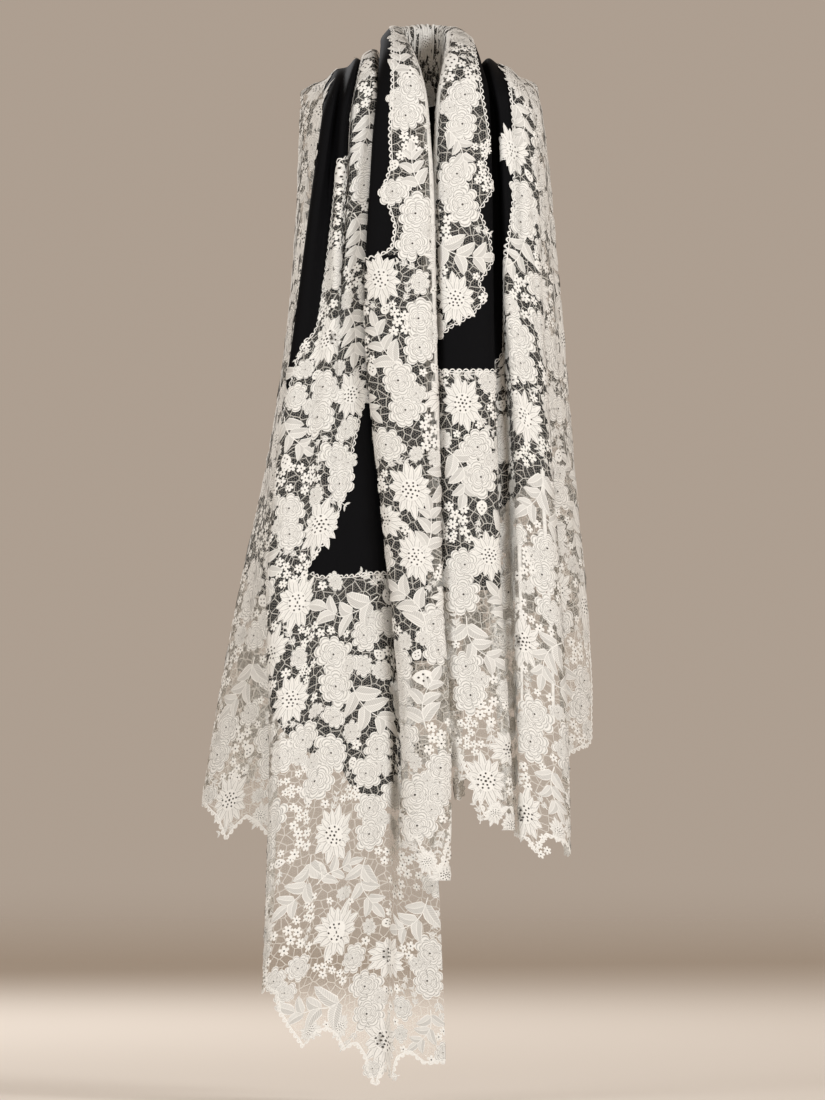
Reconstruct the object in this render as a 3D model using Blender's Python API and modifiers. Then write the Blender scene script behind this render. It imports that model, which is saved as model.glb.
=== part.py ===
"""A black shawl with a wide floral lace border, worn over the shoulders with no wearer inside.

The cloth is one long rectangle. Round the body it hangs as a cape of folds from the
shoulder line to the hem, and along the neck it is rolled into a soft collar whose two
ends hang at the front. Each stretch of the black field and of the lace border is its own
thin wall, lofted through the fold lines and cross sections of the tables below.

Metres, +Z up, the front faces -Y. The origin is on the centre line at the height where
the shoulders carry the cloth.
"""

import math

import bmesh
import bpy
import numpy as np

# ---------------------------------------------------------------- driving dimensions
UNIT = 0.00137  # metres for one unit of the pattern drawing, used by every table
MID = 420.0  # drawing x of the centre line, counted from the left
CARRY = 60.0  # drawing level of the carried shoulder line, counted downwards
WALL = 0.0012  # cloth wall
SEAM_PULL = 0.0002  # each piece stands back from a seam by this, round the cape
SEAM_ROW = 0.004  # and by this many rows along it
WELD = 0.000002  # corners this close are one
LIFT = 0.0026  # how far the applied lace stands off the black cloth's own surface
RIDGE_Y = 8.0  # mm, where the cape passes over the top of the shoulder
ARCH = 46.0  # drawing units from the shoulder line down to where the cape hangs straight
BACK_Y = 104.0  # mm, how far behind the centre the back hangs
BACK_FLARE = 10.0  # mm, how much further it swings out at the hem
HANG = 1.0 / (ARCH * math.pi / 2)  # rows of cloth for each unit that hangs straight

BLACK = (0.010, 0.010, 0.013, 1.0)
IVORY = (0.75, 0.73, 0.66, 1.0)

# Levels down the drawing at which a fold line's x is stated.
LEVELS = (120, 200, 300, 450, 600, 750, 900, 1050)
# Levels at which its depth in mm is stated: minus is towards the front.
DEEP_AT = (130, 450, 900)

# Fold lines of the cape, from the collar outwards over each shoulder. Columns: name,
# shoulder point (x, level), x at LEVELS, depth at DEEP_AT, hem level in front, share of
# the way across the back where the same line hangs behind, and its fold there in mm.
LEFT = (
    # name       top        x at LEVELS                               depth at DEEP_AT   hem   back  fold
    ("under",   (386, 68), (389, 385, 380, 392, 409, 430, 440, 446), (-88, -98, -104), 1052, 0.375, 0),
    ("deep",    (380, 60), (380, 375, 371, 383, 397, 401, 399, 394), (-86, -92, -90),  1050, 0.350, 7),
    ("strip_r", (374, 49), (374, 368, 361, 369, 380, 387, 385, 380), (-105, -108, -110), 1074, 0.325, -5),
    ("strip_l", (366, 53), (354, 351, 347, 349, 353, 355, 354, 351), (-104, -104, -104), 1044, 0.295, 6),
    ("cleft",   (361, 59), (350, 346, 340, 337, 339, 339, 337, 334), (-98, -100, -101),  1030, 0.265, -6),
    ("pleat",   (356, 57), (344, 339, 334, 323, 321, 322, 319, 316), (-112, -107, -106), 1028, 0.235, 6),
    ("valley",  (347, 66), (335, 329, 320, 308, 304, 305, 303, 300), (-95, -101, -102),  1038, 0.205, -5),
    ("swell",   (337, 68), (331, 320, 308, 293, 285, 287, 284, 280), (-109, -108, -106), 1010, 0.175, 6),
    ("edge",    (328, 78), (322, 311, 298, 279, 268, 270, 267, 261), (-98, -96, -92),    990,  0.140, -3),
    ("tuck",    (323, 81), (326, 317, 304, 286, 276, 279, 276, 270), (-79, -78, -76),    868,  0.105, 2),
    ("side_in", (317, 83), (316, 307, 298, 281, 263, 260, 260, 260), (-62, -60, -56),    824,  0.065, 0),
    ("side",    (310, 86), (308, 303, 295, 275, 252, 234, 226, 224), (-36, -34, -32),    836,  0.030, 0),
    ("outline", (302, 92), (301, 298, 291, 270, 238, 211, 190, 180), (5, 5, 5),          800,  0.000, 0),
)
RIGHT = (
    ("under",   (478, 70), (478, 480, 482, 484, 488, 498, 500, 500), (-74, -84, -88),    806,  0.375, 0),
    ("valley",  (482, 63), (496, 499, 502, 506, 511, 515, 517, 517), (-73, -76, -80),    815,  0.350, -6),
    ("crest",   (489, 57), (501, 505, 508, 519, 519, 522, 524, 524), (-97, -104, -104),  818,  0.325, 5),
    ("pillar",  (498, 63), (510, 515, 519, 529, 534, 538, 540, 540), (-94, -101, -104),  846,  0.290, -5),
    ("swell",   (508, 67), (521, 526, 530, 540, 547, 553, 556, 556), (-99, -102, -102),  836,  0.250, 6),
    ("edge",    (519, 77), (534, 538, 541, 550, 560, 567, 569, 569), (-84, -86, -86),    849,  0.205, -4),
    ("tuck",    (525, 79), (531, 534, 536, 544, 553, 560, 562, 562), (-66, -66, -66),    765,  0.155, 4),
    ("side_in", (529, 81), (538, 542, 546, 557, 569, 578, 582, 584), (-50, -50, -50),    744,  0.100, -1),
    ("side",    (533, 83), (541, 547, 554, 566, 579, 590, 592, 592), (-28, -28, -28),    732,  0.045, 0),
    ("outline", (536, 86), (542, 551, 560, 572, 586, 596, 600, 602), (5, 5, 5),          620,  0.000, 0),
)

# Lines of the back below the collar, across from left to right. Columns: name, share of
# the way across, top (x, level, depth in mm) under the collar, fold in mm, and the levels
# it takes to ease out over the shoulder blades.
NAPE = (
    ("side_l",  0.410, (391, 69, 32), 6,  60),
    ("turn_l",  0.440, (399, 70, 50), -6, 84),
    ("back_l",  0.468, (409, 71, 68), 5,  98),
    ("centre",  0.500, (427, 72, 82), -6, 96),
    ("back_r",  0.532, (445, 71, 68), 5,  98),
    ("turn_r",  0.560, (454, 70, 49), -6, 84),
    ("side_r",  0.590, (464, 71, 31), 6,  60),
)
BACK_HEM = (800, 752, 724, 700, 612)  # hem levels at equal steps across the back, left to right
PLEAT_FADE = 330.0  # drawing level where the pleats behind have gone soft

# Edges of the rolled collar's hanging ends: inner is beside the front opening. The hem
# levels run across the roll from the inner flap's edge to the outer flap's edge.
ROLL_LEVELS = (120, 200, 300, 450, 600, 750, 860)
ROLL_LEFT = {
    "inner": (428, 433, 435, 439, 442, 450, 449),
    "outer": (375, 370, 365, 376, 392, 403, 400),
    "depth": (-125, -133, -138, -138, -138, -136, -134),
    "levels": (880, 820, 760, 690, 610, 530, 450, 370, 300, 240, 180, 135),
    "hem": (790, 800, 832, 868, 850, 838, 815, 800),
}
ROLL_RIGHT = {
    "inner": (436, 434, 435, 436, 441, 452, 462),
    "outer": (490, 492, 493, 496, 500, 509, 514),
    "depth": (-112, -114, -115, -115, -115, -114, -114),
    "levels": (830, 770, 710, 650, 590, 520, 450, 380, 310, 250, 190, 140),
    "hem": (715, 722, 738, 770, 812, 808, 818, 800),
}
# Cross sections of the collar over the shoulders and round the neck, from the left front
# to the right front. Columns: inner edge (x, level, depth), outer edge (x, level, depth),
# bulge in mm, its pitch above straight forward, and the length in mm of each flap with its
# turn outwards from straight under the roll.
COLLAR = (
    # inner             outer              bulge pitch  inner flap, turn  outer flap, turn
    ((426, 101, -121), (378, 101, -117),   15,   22,    26,  52,          11, -36),
    ((421, 77, -106),  (379, 80, -104),    15,   42,    30,  46,          11, -36),
    ((413, 54, -80),   (380, 63, -79),     15,   62,    40,  40,          11, -30),
    ((404, 37, -36),   (381, 51, -31),     14,   78,    56,  38,          14, -20),
    ((400, 29, 8),     (383, 47, 22),      13,   86,    76,  39,          18, -10),
    ((404, 26, 44),    (389, 48, 66),      12,   90,    96,  41,          30, 24),
    ((414, 24, 61),    (404, 50, 90),      11,   90,    108, 46,          44, 56),
    ((426, 23, 66),    (427, 51, 98),      11,   90,    112, 47,          48, 60),
    ((438, 24, 61),    (449, 50, 90),      11,   90,    108, 45,          44, 56),
    ((446, 26, 42),    (465, 49, 64),      12,   90,    96,  39,          30, 24),
    ((448, 30, 8),     (474, 52, 22),      13,   86,    76,  35,          18, -10),
    ((448, 39, -30),   (478, 57, -20),     13,   78,    56,  36,          16, -20),
    ((446, 54, -68),   (482, 68, -58),     13,   62,    40,  40,          15, -25),
    ((442, 76, -94),   (487, 84, -88),     13,   42,    30,  46,          14, -29),
    ((438, 100, -107), (489, 103, -103),   13,   22,    26,  52,          14, -29),
)
ROLL_HANGING = (15.0, 24.0, 56.0, 15.0, -29.0)  # bulge, and the same flaps on the hanging ends

# Levels where the black cloth and the lace start and end, at each fold line of the cape
# from the collar outwards. None: from the shoulder line, or down to the hem.
LEFT_ENDS = (
    # name      black to  band from  band to  end from
    ("under",   640,      None,      380,     576),
    ("deep",    778,      None,      386,     576),
    ("strip_r", 800,      None,      396,     574),
    ("strip_l", 790,      None,      462,     577),
    ("cleft",   766,      158,       512,     578),
    ("pleat",   758,      160,       544,     578),
    ("valley",  750,      326,       572,     572),
    ("swell",   735,      348,       586,     586),
    ("edge",    702,      440,       588,     588),
    ("tuck",    690,      470,       590,     590),
)
RIGHT_ENDS = (
    # name      black to  lace from
    ("under",   590,      372),
    ("valley",  480,      352),
    ("crest",   480,      262),
    ("pillar",  480,      190),
    ("swell",   480,      None),
    ("edge",    470,      None),
    ("tuck",    460,      None),
)
# Black behind the lace round the left side, at each fold line from the front tuck round
# to the back tuck: from and to.
SIDE_FROM = (240, 240, 240, 240, 220, 170, None)
SIDE_TO = (560, 560, 562, 570, 588, 600, 606)
BACK_BORDER = 300  # depth of the lace border across the back
BACK_UNDER = 110  # how far the black cloth reaches down behind it
BACK_CORNER = (130, 200, 320, 390, 430)  # levels where that border starts at its corners, side first

# Places across the roll (see Roll) where the lace ends and the black cloth starts, as
# (level, place) down each hanging end, and for each section of the collar.
ROLL_LACE = {
    "left":  ((135, 4.5), (170, 4.4), (195, 4.8), (228, 4.2), (258, 4.4)),
    "right": ((140, 5.5), (188, 5.8), (212, 4.7), (262, 5.6), (284, 4.6), (300, 4.9), (316, 4.0), (329, 3.0), (334, 2.7)),
}
COLLAR_LACE = (4.5, 4.4, 4.0, 3.1, 2.9, 3.1, 3.5, 4.0, 3.8, 3.9, 4.2, 4.3, 4.5, 4.8, 5.1)
ROLL_STRIP = (258, 334)  # levels on the left and right ends where that strip of lace ends
ROLL_LACE_AGAIN = (261, 372)  # and from where lace covers the whole roll
ROLL_BLACK = {
    "left":  ((135, 3.2), (660, 3.2)),
    "right": ((140, 0.6), (590, 0.6)),
}
COLLAR_BLACK = (3.2, 3.1, 2.8, 2.1, 2.0, 2.1, 2.5, 2.8, 2.7, 2.7, 2.9, 3.0, 3.1, 3.2, 3.2)
NAPE_AT = (4, 10)  # collar sections between which black shows inside the neck
NAPE_TO = 1.1  # place across up to which it reaches, under the lace
NAPE_LACE_AT = (2.5, 4, 10, 11.5)  # collar sections, and where the lace starts at them
NAPE_LACE = (0, 0.72, 0.72, 0)
NOTCH = 13.0  # how far the hem rises between its points

# The lattice that every layer shares: rows down the cape, and places across the roll.
ROWS = (0, 0.22, 0.44, 0.66, 0.86, 1.1, 1.5) + tuple(2.1 + k for k in range(13))
ACROSS = (0, 1, 2, 2.6, 3.2, 4, 4.6, 5.2, 6, 7)
BEND = 1.12  # rows above this arch over the shoulder


# ---------------------------------------------------------------- curves
def soft(values, at, axis=-1):
    """Values at whole-numbered places along an axis, read smoothly at any place, with no overshoot."""
    values = np.moveaxis(np.asarray(values, float), axis, -1)
    at = np.asarray(at, float)
    n = values.shape[-1]
    step = np.diff(values, axis=-1)
    before, after = step[..., :-1], step[..., 1:]
    same = before * after > 0
    total = np.where(same, before + after, 1.0)
    inside = np.where(same, 2 * before * after / total, 0.0)
    slope = np.concatenate([step[..., :1], inside, step[..., -1:]], axis=-1)
    i = np.clip(np.floor(at).astype(int), 0, n - 2)
    t = at - i
    shape = np.broadcast_shapes(values.shape[:-1], at.shape)
    i = np.broadcast_to(i, shape)[..., None]
    t = np.broadcast_to(t, shape)
    take = lambda a, k: np.take_along_axis(np.broadcast_to(a, shape + a.shape[-1:]), k, -1)[..., 0]
    p0, p1, m0, m1 = take(values, i), take(values, i + 1), take(slope, i), take(slope, i + 1)
    return (
        p0 * (2 * t**3 - 3 * t**2 + 1)
        + m0 * (t**3 - 2 * t**2 + t)
        + p1 * (-2 * t**3 + 3 * t**2)
        + m1 * (t**3 - t**2)
    )


def along(knots, values, at):
    """A smooth curve through (knot, value) pairs of uneven spacing."""
    knots, values, at = (np.asarray(a, float) for a in (knots, values, at))
    gap = np.diff(knots)
    rate = np.diff(values) / gap
    same = rate[:-1] * rate[1:] > 0
    total = np.where(same, rate[:-1] + rate[1:], 1.0)
    slope = np.concatenate([rate[:1], np.where(same, 2 * rate[:-1] * rate[1:] / total, 0.0), rate[-1:]])
    at = np.clip(at, knots[0], knots[-1])
    i = np.clip(np.searchsorted(knots, at, side="right") - 1, 0, len(knots) - 2)
    h = gap[i]
    t = (at - knots[i]) / h
    return (
        values[i] * (2 * t**3 - 3 * t**2 + 1)
        + slope[i] * h * (t**3 - 2 * t**2 + t)
        + values[i + 1] * (-2 * t**3 + 3 * t**2)
        + slope[i + 1] * h * (t**3 - t**2)
    )


# ---------------------------------------------------------------- the cape
# A row number r counts cloth down from the shoulder line: 0 on it, 1 where it starts to
# hang straight.
def drop(r):
    r = np.asarray(r, float)
    return np.where(r < 1, ARCH * (1 - np.cos(np.clip(r, 0, 1) * math.pi / 2)), ARCH + (r - 1) / HANG)


def row_of(fall):
    fall = np.asarray(fall, float)
    bend = np.arccos(np.clip(1 - fall / ARCH, -1, 1)) / (math.pi / 2)
    return np.where(fall < ARCH, bend, 1 + (fall - ARCH) * HANG)


def outline_x(table, level):
    top, xs = table[-1][1:3]
    return along((top[1],) + LEVELS, (top[0],) + xs, level)


def share_x(share, level):
    """Drawing x of a line that hangs a given share of the way across the back."""
    left, right = outline_x(LEFT, level), outline_x(RIGHT, level)
    return left + share * (right - left)


def back_depth(share, fold, level):
    """Depth in mm of the back: flat between the shoulder blades, turned in at the sides."""
    side = min(share, 1 - share)
    turned = math.sqrt(max(0.0, 1 - max(0.0, 1 - side / 0.16) ** 2))
    fade = np.clip((PLEAT_FADE - level) / (PLEAT_FADE - ARCH - CARRY), 0, 1)
    flare = BACK_FLARE * np.clip((level - CARRY) / 700.0, 0, 1)
    return 5 + (BACK_Y + flare - 5) * turned + fold * (0.6 + 0.55 * fade) * min(turned * 1.5, 1)


def hang(x_of, depth_of, top, start_y, r, reach=None):
    """One fold line at rows r: x, depth in mm and level.

    It arches out over the shoulder, or eases out over a reach of levels."""
    level = top + drop(r)
    if reach:
        t = np.clip((level - top) / reach, 0, 1)
        out = t * t * (3 - 2 * t)
    else:
        out = np.sin(np.clip(r, 0, 1) * math.pi / 2)
    return x_of(level), start_y + (depth_of(level) - start_y) * out, level


def front_line(row, r):
    top, xs, deep = row[1:4]
    return hang(
        lambda v: along((top[1],) + LEVELS, (top[0],) + xs, v),
        lambda v: along(DEEP_AT, deep, v),
        top[1], RIDGE_Y, r,
    )


def behind_line(top, start_y, share, fold, r, reach=None):
    """A line that leaves a shoulder point and eases out to its share of the back."""
    def x_of(v):
        ease = np.clip((v - top[1]) / 240.0, 0, 1)
        return top[0] + (share_x(share, v) - top[0]) * ease * ease * (3 - 2 * ease)

    return hang(x_of, lambda v: back_depth(share, fold, v), top[1], start_y, r, reach)


def back_hem(share):
    return float(soft(BACK_HEM, share * (len(BACK_HEM) - 1)))


def ring_lines():
    """(name, curve of r, hem level) for each fold line, once round the cape.

    It runs from the collar's left end outwards over the left front, round the left side,
    across the back, round the right side and in again to the collar's right end."""
    found = [("front_l_" + row[0], lambda r, row=row: front_line(row, r), row[4]) for row in LEFT]
    for row in LEFT[-2::-1]:
        found.append(
            ("back_l_" + row[0], lambda r, row=row: behind_line(row[1], RIDGE_Y, row[5], row[6], r), back_hem(row[5]))
        )
    for row in NAPE:
        found.append(
            (row[0], lambda r, row=row: behind_line(row[2], row[2][2], row[1], row[3], r, row[4]), back_hem(row[1]))
        )
    for row in RIGHT[:-1]:
        found.append(
            ("back_r_" + row[0], lambda r, row=row: behind_line(row[1], RIDGE_Y, 1 - row[5], row[6], r), back_hem(1 - row[5]))
        )
    found += [("front_r_" + row[0], lambda r, row=row: front_line(row, r), row[4]) for row in RIGHT[::-1]]
    return found


class Cape:
    """The cape as a smooth surface over (s, r): s counts fold lines round it, r its rows."""

    def __init__(self):
        lines = ring_lines()
        self.names = [name for name, _, _ in lines]
        self.lines = [curve for _, curve, _ in lines]
        self.hems = np.array([hem for _, _, hem in lines], float)
        self.tops = np.array([float(curve(np.zeros(1))[2][0]) for curve in self.lines])

    def s(self, name):
        return self.names.index(name)

    def hem(self, s):
        """Hem level: it hangs lowest at the fold lines and rises between them."""
        return soft(self.hems, s) - NOTCH * np.sin(math.pi * np.asarray(s, float)) ** 2

    def row(self, s, level):
        return row_of(np.maximum(level - soft(self.tops, s), 0))

    def at(self, s, r):
        """Points in metres."""
        s, r = np.broadcast_arrays(np.asarray(s, float), np.asarray(r, float))
        each = [curve(r) for curve in self.lines]
        x, depth, level = (soft(np.stack([e[k] for e in each], -1), s) for k in range(3))
        return np.stack([(x - MID) * UNIT, depth / 1000, (CARRY - level) * UNIT], -1)


# ---------------------------------------------------------------- the rolled collar
def roll_sections():
    """Every cross section of the roll, from the left hem round the neck to the right hem."""
    found = []

    def hanging(table, levels):
        for v in levels:
            depth = float(along(ROLL_LEVELS, table["depth"], v))
            inner = float(along(ROLL_LEVELS, table["inner"], v))
            outer = float(along(ROLL_LEVELS, table["outer"], v))
            pitch = 12 * max(0.0, 1 - max(0.0, v - 120) / 120.0)
            found.append(((inner, v, depth), (outer, v, depth + 8), ROLL_HANGING[0], pitch) + ROLL_HANGING[1:])

    hanging(ROLL_LEFT, ROLL_LEFT["levels"])
    found.extend(COLLAR)
    hanging(ROLL_RIGHT, ROLL_RIGHT["levels"][::-1])
    return found


class Roll:
    """The rolled neck edge as a smooth surface over (s, q).

    s runs across it from the inner flap's free edge (0) by the inner edge (2), the crest
    (4) and the outer edge (6) to the outer flap's end (7); q counts its cross sections."""

    def __init__(self):
        sections = roll_sections()
        self.count = len(sections)
        self.first = len(ROLL_LEFT["levels"])  # the collar's first section
        self.last = self.first + len(COLLAR) - 1
        control = []
        for inner, outer, bulge, pitch, flap, turn, under, lean in sections:
            a, b = (np.array([(p[0] - MID) * UNIT, p[2] / 1000, (CARRY - p[1]) * UNIT]) for p in (inner, outer))
            e1 = b - a
            w = np.linalg.norm(e1) / 2
            e1 /= 2 * w
            up = np.array([0.0, -math.cos(math.radians(pitch)), math.sin(math.radians(pitch))])
            e2 = up - up.dot(e1) * e1
            e2 /= np.linalg.norm(e2)
            bulge, flap, under, t, u = bulge / 1000, flap / 1000, under / 1000, math.radians(turn), math.radians(lean)
            flat = (
                (-w + flap * math.sin(t), -flap * math.cos(t)),
                (-w + 0.42 * flap * math.sin(t), -0.5 * flap * math.cos(t)),
                (-w, 0.0),
                (-0.62 * w, 0.8 * bulge),
                (0.0, bulge),
                (0.62 * w, 0.74 * bulge),
                (w, 0.0),
                (w + under * math.sin(u), -under * math.cos(u)),
            )
            control.append([(a + b) / 2 + e1 * p + e2 * q for p, q in flat])
        self.control = np.array(control)

    def at(self, s, q):
        """Points in metres."""
        s, q = np.broadcast_arrays(np.asarray(s, float), np.asarray(q, float))
        c = self.control
        i = np.clip(np.floor(q).astype(int), 0, self.count - 2)
        t = (q - i)[..., None, None]
        p0, p1, p2, p3 = c[np.maximum(i - 1, 0)], c[i], c[i + 1], c[np.minimum(i + 2, self.count - 1)]
        rows = 0.5 * (
            2 * p1 + (p2 - p0) * t + (2 * p0 - 5 * p1 + 4 * p2 - p3) * t**2 + (3 * p1 - p0 - 3 * p2 + p3) * t**3
        )
        return np.stack([soft(rows[..., k], s) for k in range(3)], -1)

    def q(self, side, level):
        """Section number at a drawing level on the left or right hanging end."""
        level = np.asarray(level, float)
        knots = (ROLL_LEFT if side == "left" else ROLL_RIGHT)["levels"][::-1]
        place = np.interp(level, knots, np.arange(len(knots)))
        return self.first - 1 - place if side == "left" else self.last + 1 + place

    def hem(self, side, s):
        """Section number of the hem at a place across the roll."""
        table = ROLL_LEFT if side == "left" else ROLL_RIGHT
        return self.q(side, soft(table["hem"], s) - 0.7 * NOTCH * np.sin(math.pi * np.asarray(s, float)) ** 2)

    def edge(self, ends, middle, q):
        """A place across the roll at each section number, from tables by level and section."""
        pairs = [(float(self.q("left", v)), s) for v, s in ends["left"][::-1]]
        pairs += [(self.first + k, s) for k, s in enumerate(middle)]
        pairs += [(float(self.q("right", v)), s) for v, s in ends["right"]]
        return np.interp(q, [k for k, _ in pairs], [s for _, s in pairs])


# ---------------------------------------------------------------- walls
def material(name, colour, roughness):
    made = bpy.data.materials.get(name)
    if made is None:
        made = bpy.data.materials.new(name)
        made.use_nodes = True
        shader = made.node_tree.nodes["Principled BSDF"]
        shader.inputs["Base Color"].default_value = colour
        shader.inputs["Roughness"].default_value = roughness
        shader.inputs["Metallic"].default_value = 0.0
    return made


def normal(surface, s, r, outside):
    """Unit normals on the side away from the wearer."""
    over = surface(s + 0.02, r) - surface(s - 0.02, r)
    pinched = np.linalg.norm(over, axis=-1, keepdims=True) < 1e-5
    over = np.where(pinched, surface(s + 0.02, r + 0.1) - surface(s - 0.02, r + 0.1), over)
    down = surface(s, r + 0.0002) - surface(s, r)
    down = np.where(pinched, surface(s, r + 0.1) - surface(s, r), down)
    n = outside * np.cross(over, down)
    return n / np.maximum(np.linalg.norm(n, axis=-1, keepdims=True), 1e-12)


def wall(name, surface, s, r, outside, collection, bend=None):
    """A cloth wall: the loft through a surface at a grid of (s, r), thickened outwards.

    Where a piece starts lower on one line than on the next, it has no corner above bend."""
    s, r = np.broadcast_arrays(s, r)
    grid = surface(s, r)
    if name.startswith("lace"):
        grid = grid + LIFT * normal(surface, s, r, outside)
    rows, columns = s.shape
    made = bmesh.new()
    verts = [made.verts.new(p) for p in grid.reshape(-1, 3)]
    for i in range(rows - 1):
        for j in range(columns - 1):
            fan = (r[i, j] == r[i + 1, j]) != (r[i, j + 1] == r[i + 1, j + 1])
            if bend and fan and min(r[i, j], r[i, j + 1]) < bend:
                continue
            a = i * columns + j
            ring = [verts[k] for k in (a, a + 1, a + columns + 1, a + columns)]
            made.faces.new(ring if outside > 0 else ring[::-1])
    bmesh.ops.remove_doubles(made, verts=made.verts, dist=WELD)
    mesh = bpy.data.meshes.new(name)
    made.to_mesh(mesh)
    made.free()
    mesh.shade_smooth()
    piece = bpy.data.objects.new(name, mesh)
    collection.objects.link(piece)
    if name.startswith("field"):
        mesh.materials.append(material("black_cloth", BLACK, 0.85))
    else:
        mesh.materials.append(material("ivory_lace", IVORY, 0.8))
    thick = piece.modifiers.new("wall", "SOLIDIFY")
    thick.thickness = WALL
    thick.offset = 1.0
    return piece


def kept(lattice, low, high, snap):
    """The lines of a shared lattice, held between low and high.

    Lines beyond an end, or nearly on it, fall on that end, so layers share the others."""
    line = np.where(lattice < low + snap, low, lattice)
    return np.where(line > high - snap, high, line)


def by_line(cape, first, levels):
    """A level at any place across, from one for each fold line; None is the shoulder line."""
    known = [cape.tops[first + k] if v is None else v for k, v in enumerate(levels)]
    return lambda s: soft(known, np.asarray(s, float) - first)


def cape_wall(name, cape, low, high, start, end, collection, seams="", each=2):
    """A stretch of the cape between two places across and two level functions."""
    across = sorted({low, high} | {k / each for k in range(math.ceil(each * low), math.floor(each * high) + 1)})
    across = np.array(across, float)
    first = cape.row(across, start(across)) if start else np.zeros(len(across))
    last = cape.row(across, end(across))
    first = first + (SEAM_ROW if "start" in seams else 0)
    last = last - (SEAM_ROW if "end" in seams else 0)
    r = kept(np.array(ROWS)[:, None], first, last, 0.2)
    s = np.repeat(across[None, :], len(ROWS), axis=0)
    for seam, column, sign in (("low", 0, 1), ("high", -1, -1)):
        if seam in seams:
            e = 0.05 * sign
            speed = np.linalg.norm(cape.at(s[:, column] + e, r[:, column]) - cape.at(s[:, column], r[:, column]), axis=-1) / 0.05
            s[:, column] += sign * np.minimum(SEAM_PULL / np.maximum(speed, 1e-6), 0.2)
    return wall(name, cape.at, s, r, 1.0, collection, BEND)


def roll_wall(name, roll, first, last, low, high, collection, hem="", seams="", extra=()):
    """A stretch of the roll between two sections, and two places across at each section."""
    q = np.array(sorted({first, last} | set(extra) | set(range(math.ceil(first), math.floor(last) + 1))), float)
    lo, hi = low(q), high(q)
    s = kept(np.array(ACROSS)[None, :], lo[:, None], hi[:, None], 0.12)
    q = np.repeat(q[:, None], len(ACROSS), axis=1)
    if hem == "left":
        q = np.maximum(q, roll.hem("left", s))
    if hem == "right":
        q = np.minimum(q, roll.hem("right", s))
    if "first" in seams:
        q[0] += SEAM_ROW * 3
    if "last" in seams:
        q[-1] -= SEAM_ROW * 3
    return wall(name, roll.at, s, q, -1.0, collection)


def back_from(cape, first, last):
    """Level where the back border starts at each fold line: an even depth, rounded up into the sides."""
    levels = [h - BACK_BORDER for h in cape.hems[first : last + 1]]
    for k, corner in enumerate(BACK_CORNER):
        levels[k] = min(levels[k], corner)
        levels[-1 - k] = min(levels[-1 - k], corner)
    return levels


def main():
    for piece in list(bpy.data.objects):
        bpy.data.objects.remove(piece, do_unlink=True)
    shawl = bpy.data.collections.new("lace_shawl")
    bpy.context.scene.collection.children.link(shawl)

    cape, roll = Cape(), Roll()
    left_out, left_back = cape.s("front_l_edge") + 0.5, cape.s("back_l_tuck")
    right_back, right_out, end = cape.s("back_r_tuck"), cape.s("front_r_tuck") + 0.5, cape.s("front_r_under")
    first, last = roll.first, roll.last
    left = lambda column: by_line(cape, 0, [row[column] for row in LEFT_ENDS])
    right = lambda column: by_line(cape, cape.s("front_r_tuck"), [row[column] for row in RIGHT_ENDS[::-1]])
    side = lambda levels: by_line(cape, cape.s("front_l_tuck"), levels)
    above_hem = lambda up: (lambda s: soft(cape.hems, s) - up)
    every = lambda value: (lambda q: np.full(np.shape(q), float(value)))
    black = lambda q: roll.edge(ROLL_BLACK, COLLAR_BLACK, q)
    lace = lambda q: roll.edge(ROLL_LACE, COLLAR_LACE, q)
    inner = lambda q: np.interp(q - first, NAPE_LACE_AT, NAPE_LACE)
    level_l = lambda v: float(roll.q("left", v))
    level_r = lambda v: float(roll.q("right", v))

    # the black field
    cape_wall("field_left_front", cape, 0, left_out, None, left(1), shawl, "start high")
    cape_wall("field_left_side", cape, cape.s("front_l_tuck"), left_back, side(SIDE_FROM), side(SIDE_TO), shawl, "high")
    cape_wall("field_back", cape, left_back, right_back, None, above_hem(BACK_BORDER - BACK_UNDER), shawl, "start low", 1)
    cape_wall("field_right_front", cape, right_out, end, None, right(1), shawl, "start low")
    roll_wall("field_roll_left", roll, level_l(660), first, black, every(7), shawl, seams="last")
    roll_wall("field_collar", roll, first, last, black, every(7), shawl)
    roll_wall("field_roll_right", roll, last, level_r(590), black, every(7), shawl, seams="first")
    roll_wall("field_nape", roll, first + NAPE_AT[0], first + NAPE_AT[1], every(0), every(NAPE_TO), shawl)

    # the lace border
    cape_wall("lace_left_band", cape, 1.5, left_out, left(2), left(3), shawl, "start end high")
    below_band = lambda s: np.maximum(left(4)(s), left(3)(s))
    cape_wall("lace_left_end", cape, 0, left_out, below_band, cape.hem, shawl, "start high")
    cape_wall("lace_left_side", cape, left_out, left_back, None, cape.hem, shawl, "low high")
    border = by_line(cape, left_back, back_from(cape, left_back, right_back))
    cape_wall("lace_back", cape, left_back, right_back, border, cape.hem, shawl, "low high", 1)
    cape_wall("lace_right_side", cape, right_back, right_out, None, cape.hem, shawl, "low high")
    cape_wall("lace_right_end", cape, right_out, end, right(2), cape.hem, shawl, "start low")
    strip_l, strip_r = level_l(ROLL_STRIP[0]), level_r(ROLL_STRIP[1])
    roll_wall("lace_roll_left", roll, 0, level_l(ROLL_LACE_AGAIN[0]), every(0), every(7), shawl, "left")
    roll_wall("lace_roll_left_strip", roll, strip_l, first, every(0), lace, shawl, seams="last")
    roll_wall("lace_collar", roll, first, last, inner, lace, shawl)
    steps = {level_r(v) for v, _ in ROLL_LACE["right"] if v > 280}
    roll_wall("lace_roll_right_strip", roll, last, strip_r, every(0), lace, shawl, seams="first", extra=steps)
    roll_wall("lace_roll_right", roll, level_r(ROLL_LACE_AGAIN[1]), roll.count - 1, every(0), every(7), shawl, "right")


main()
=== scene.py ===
"""Looks of the lace shawl: fine cloth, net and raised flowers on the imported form."""

import math

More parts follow.
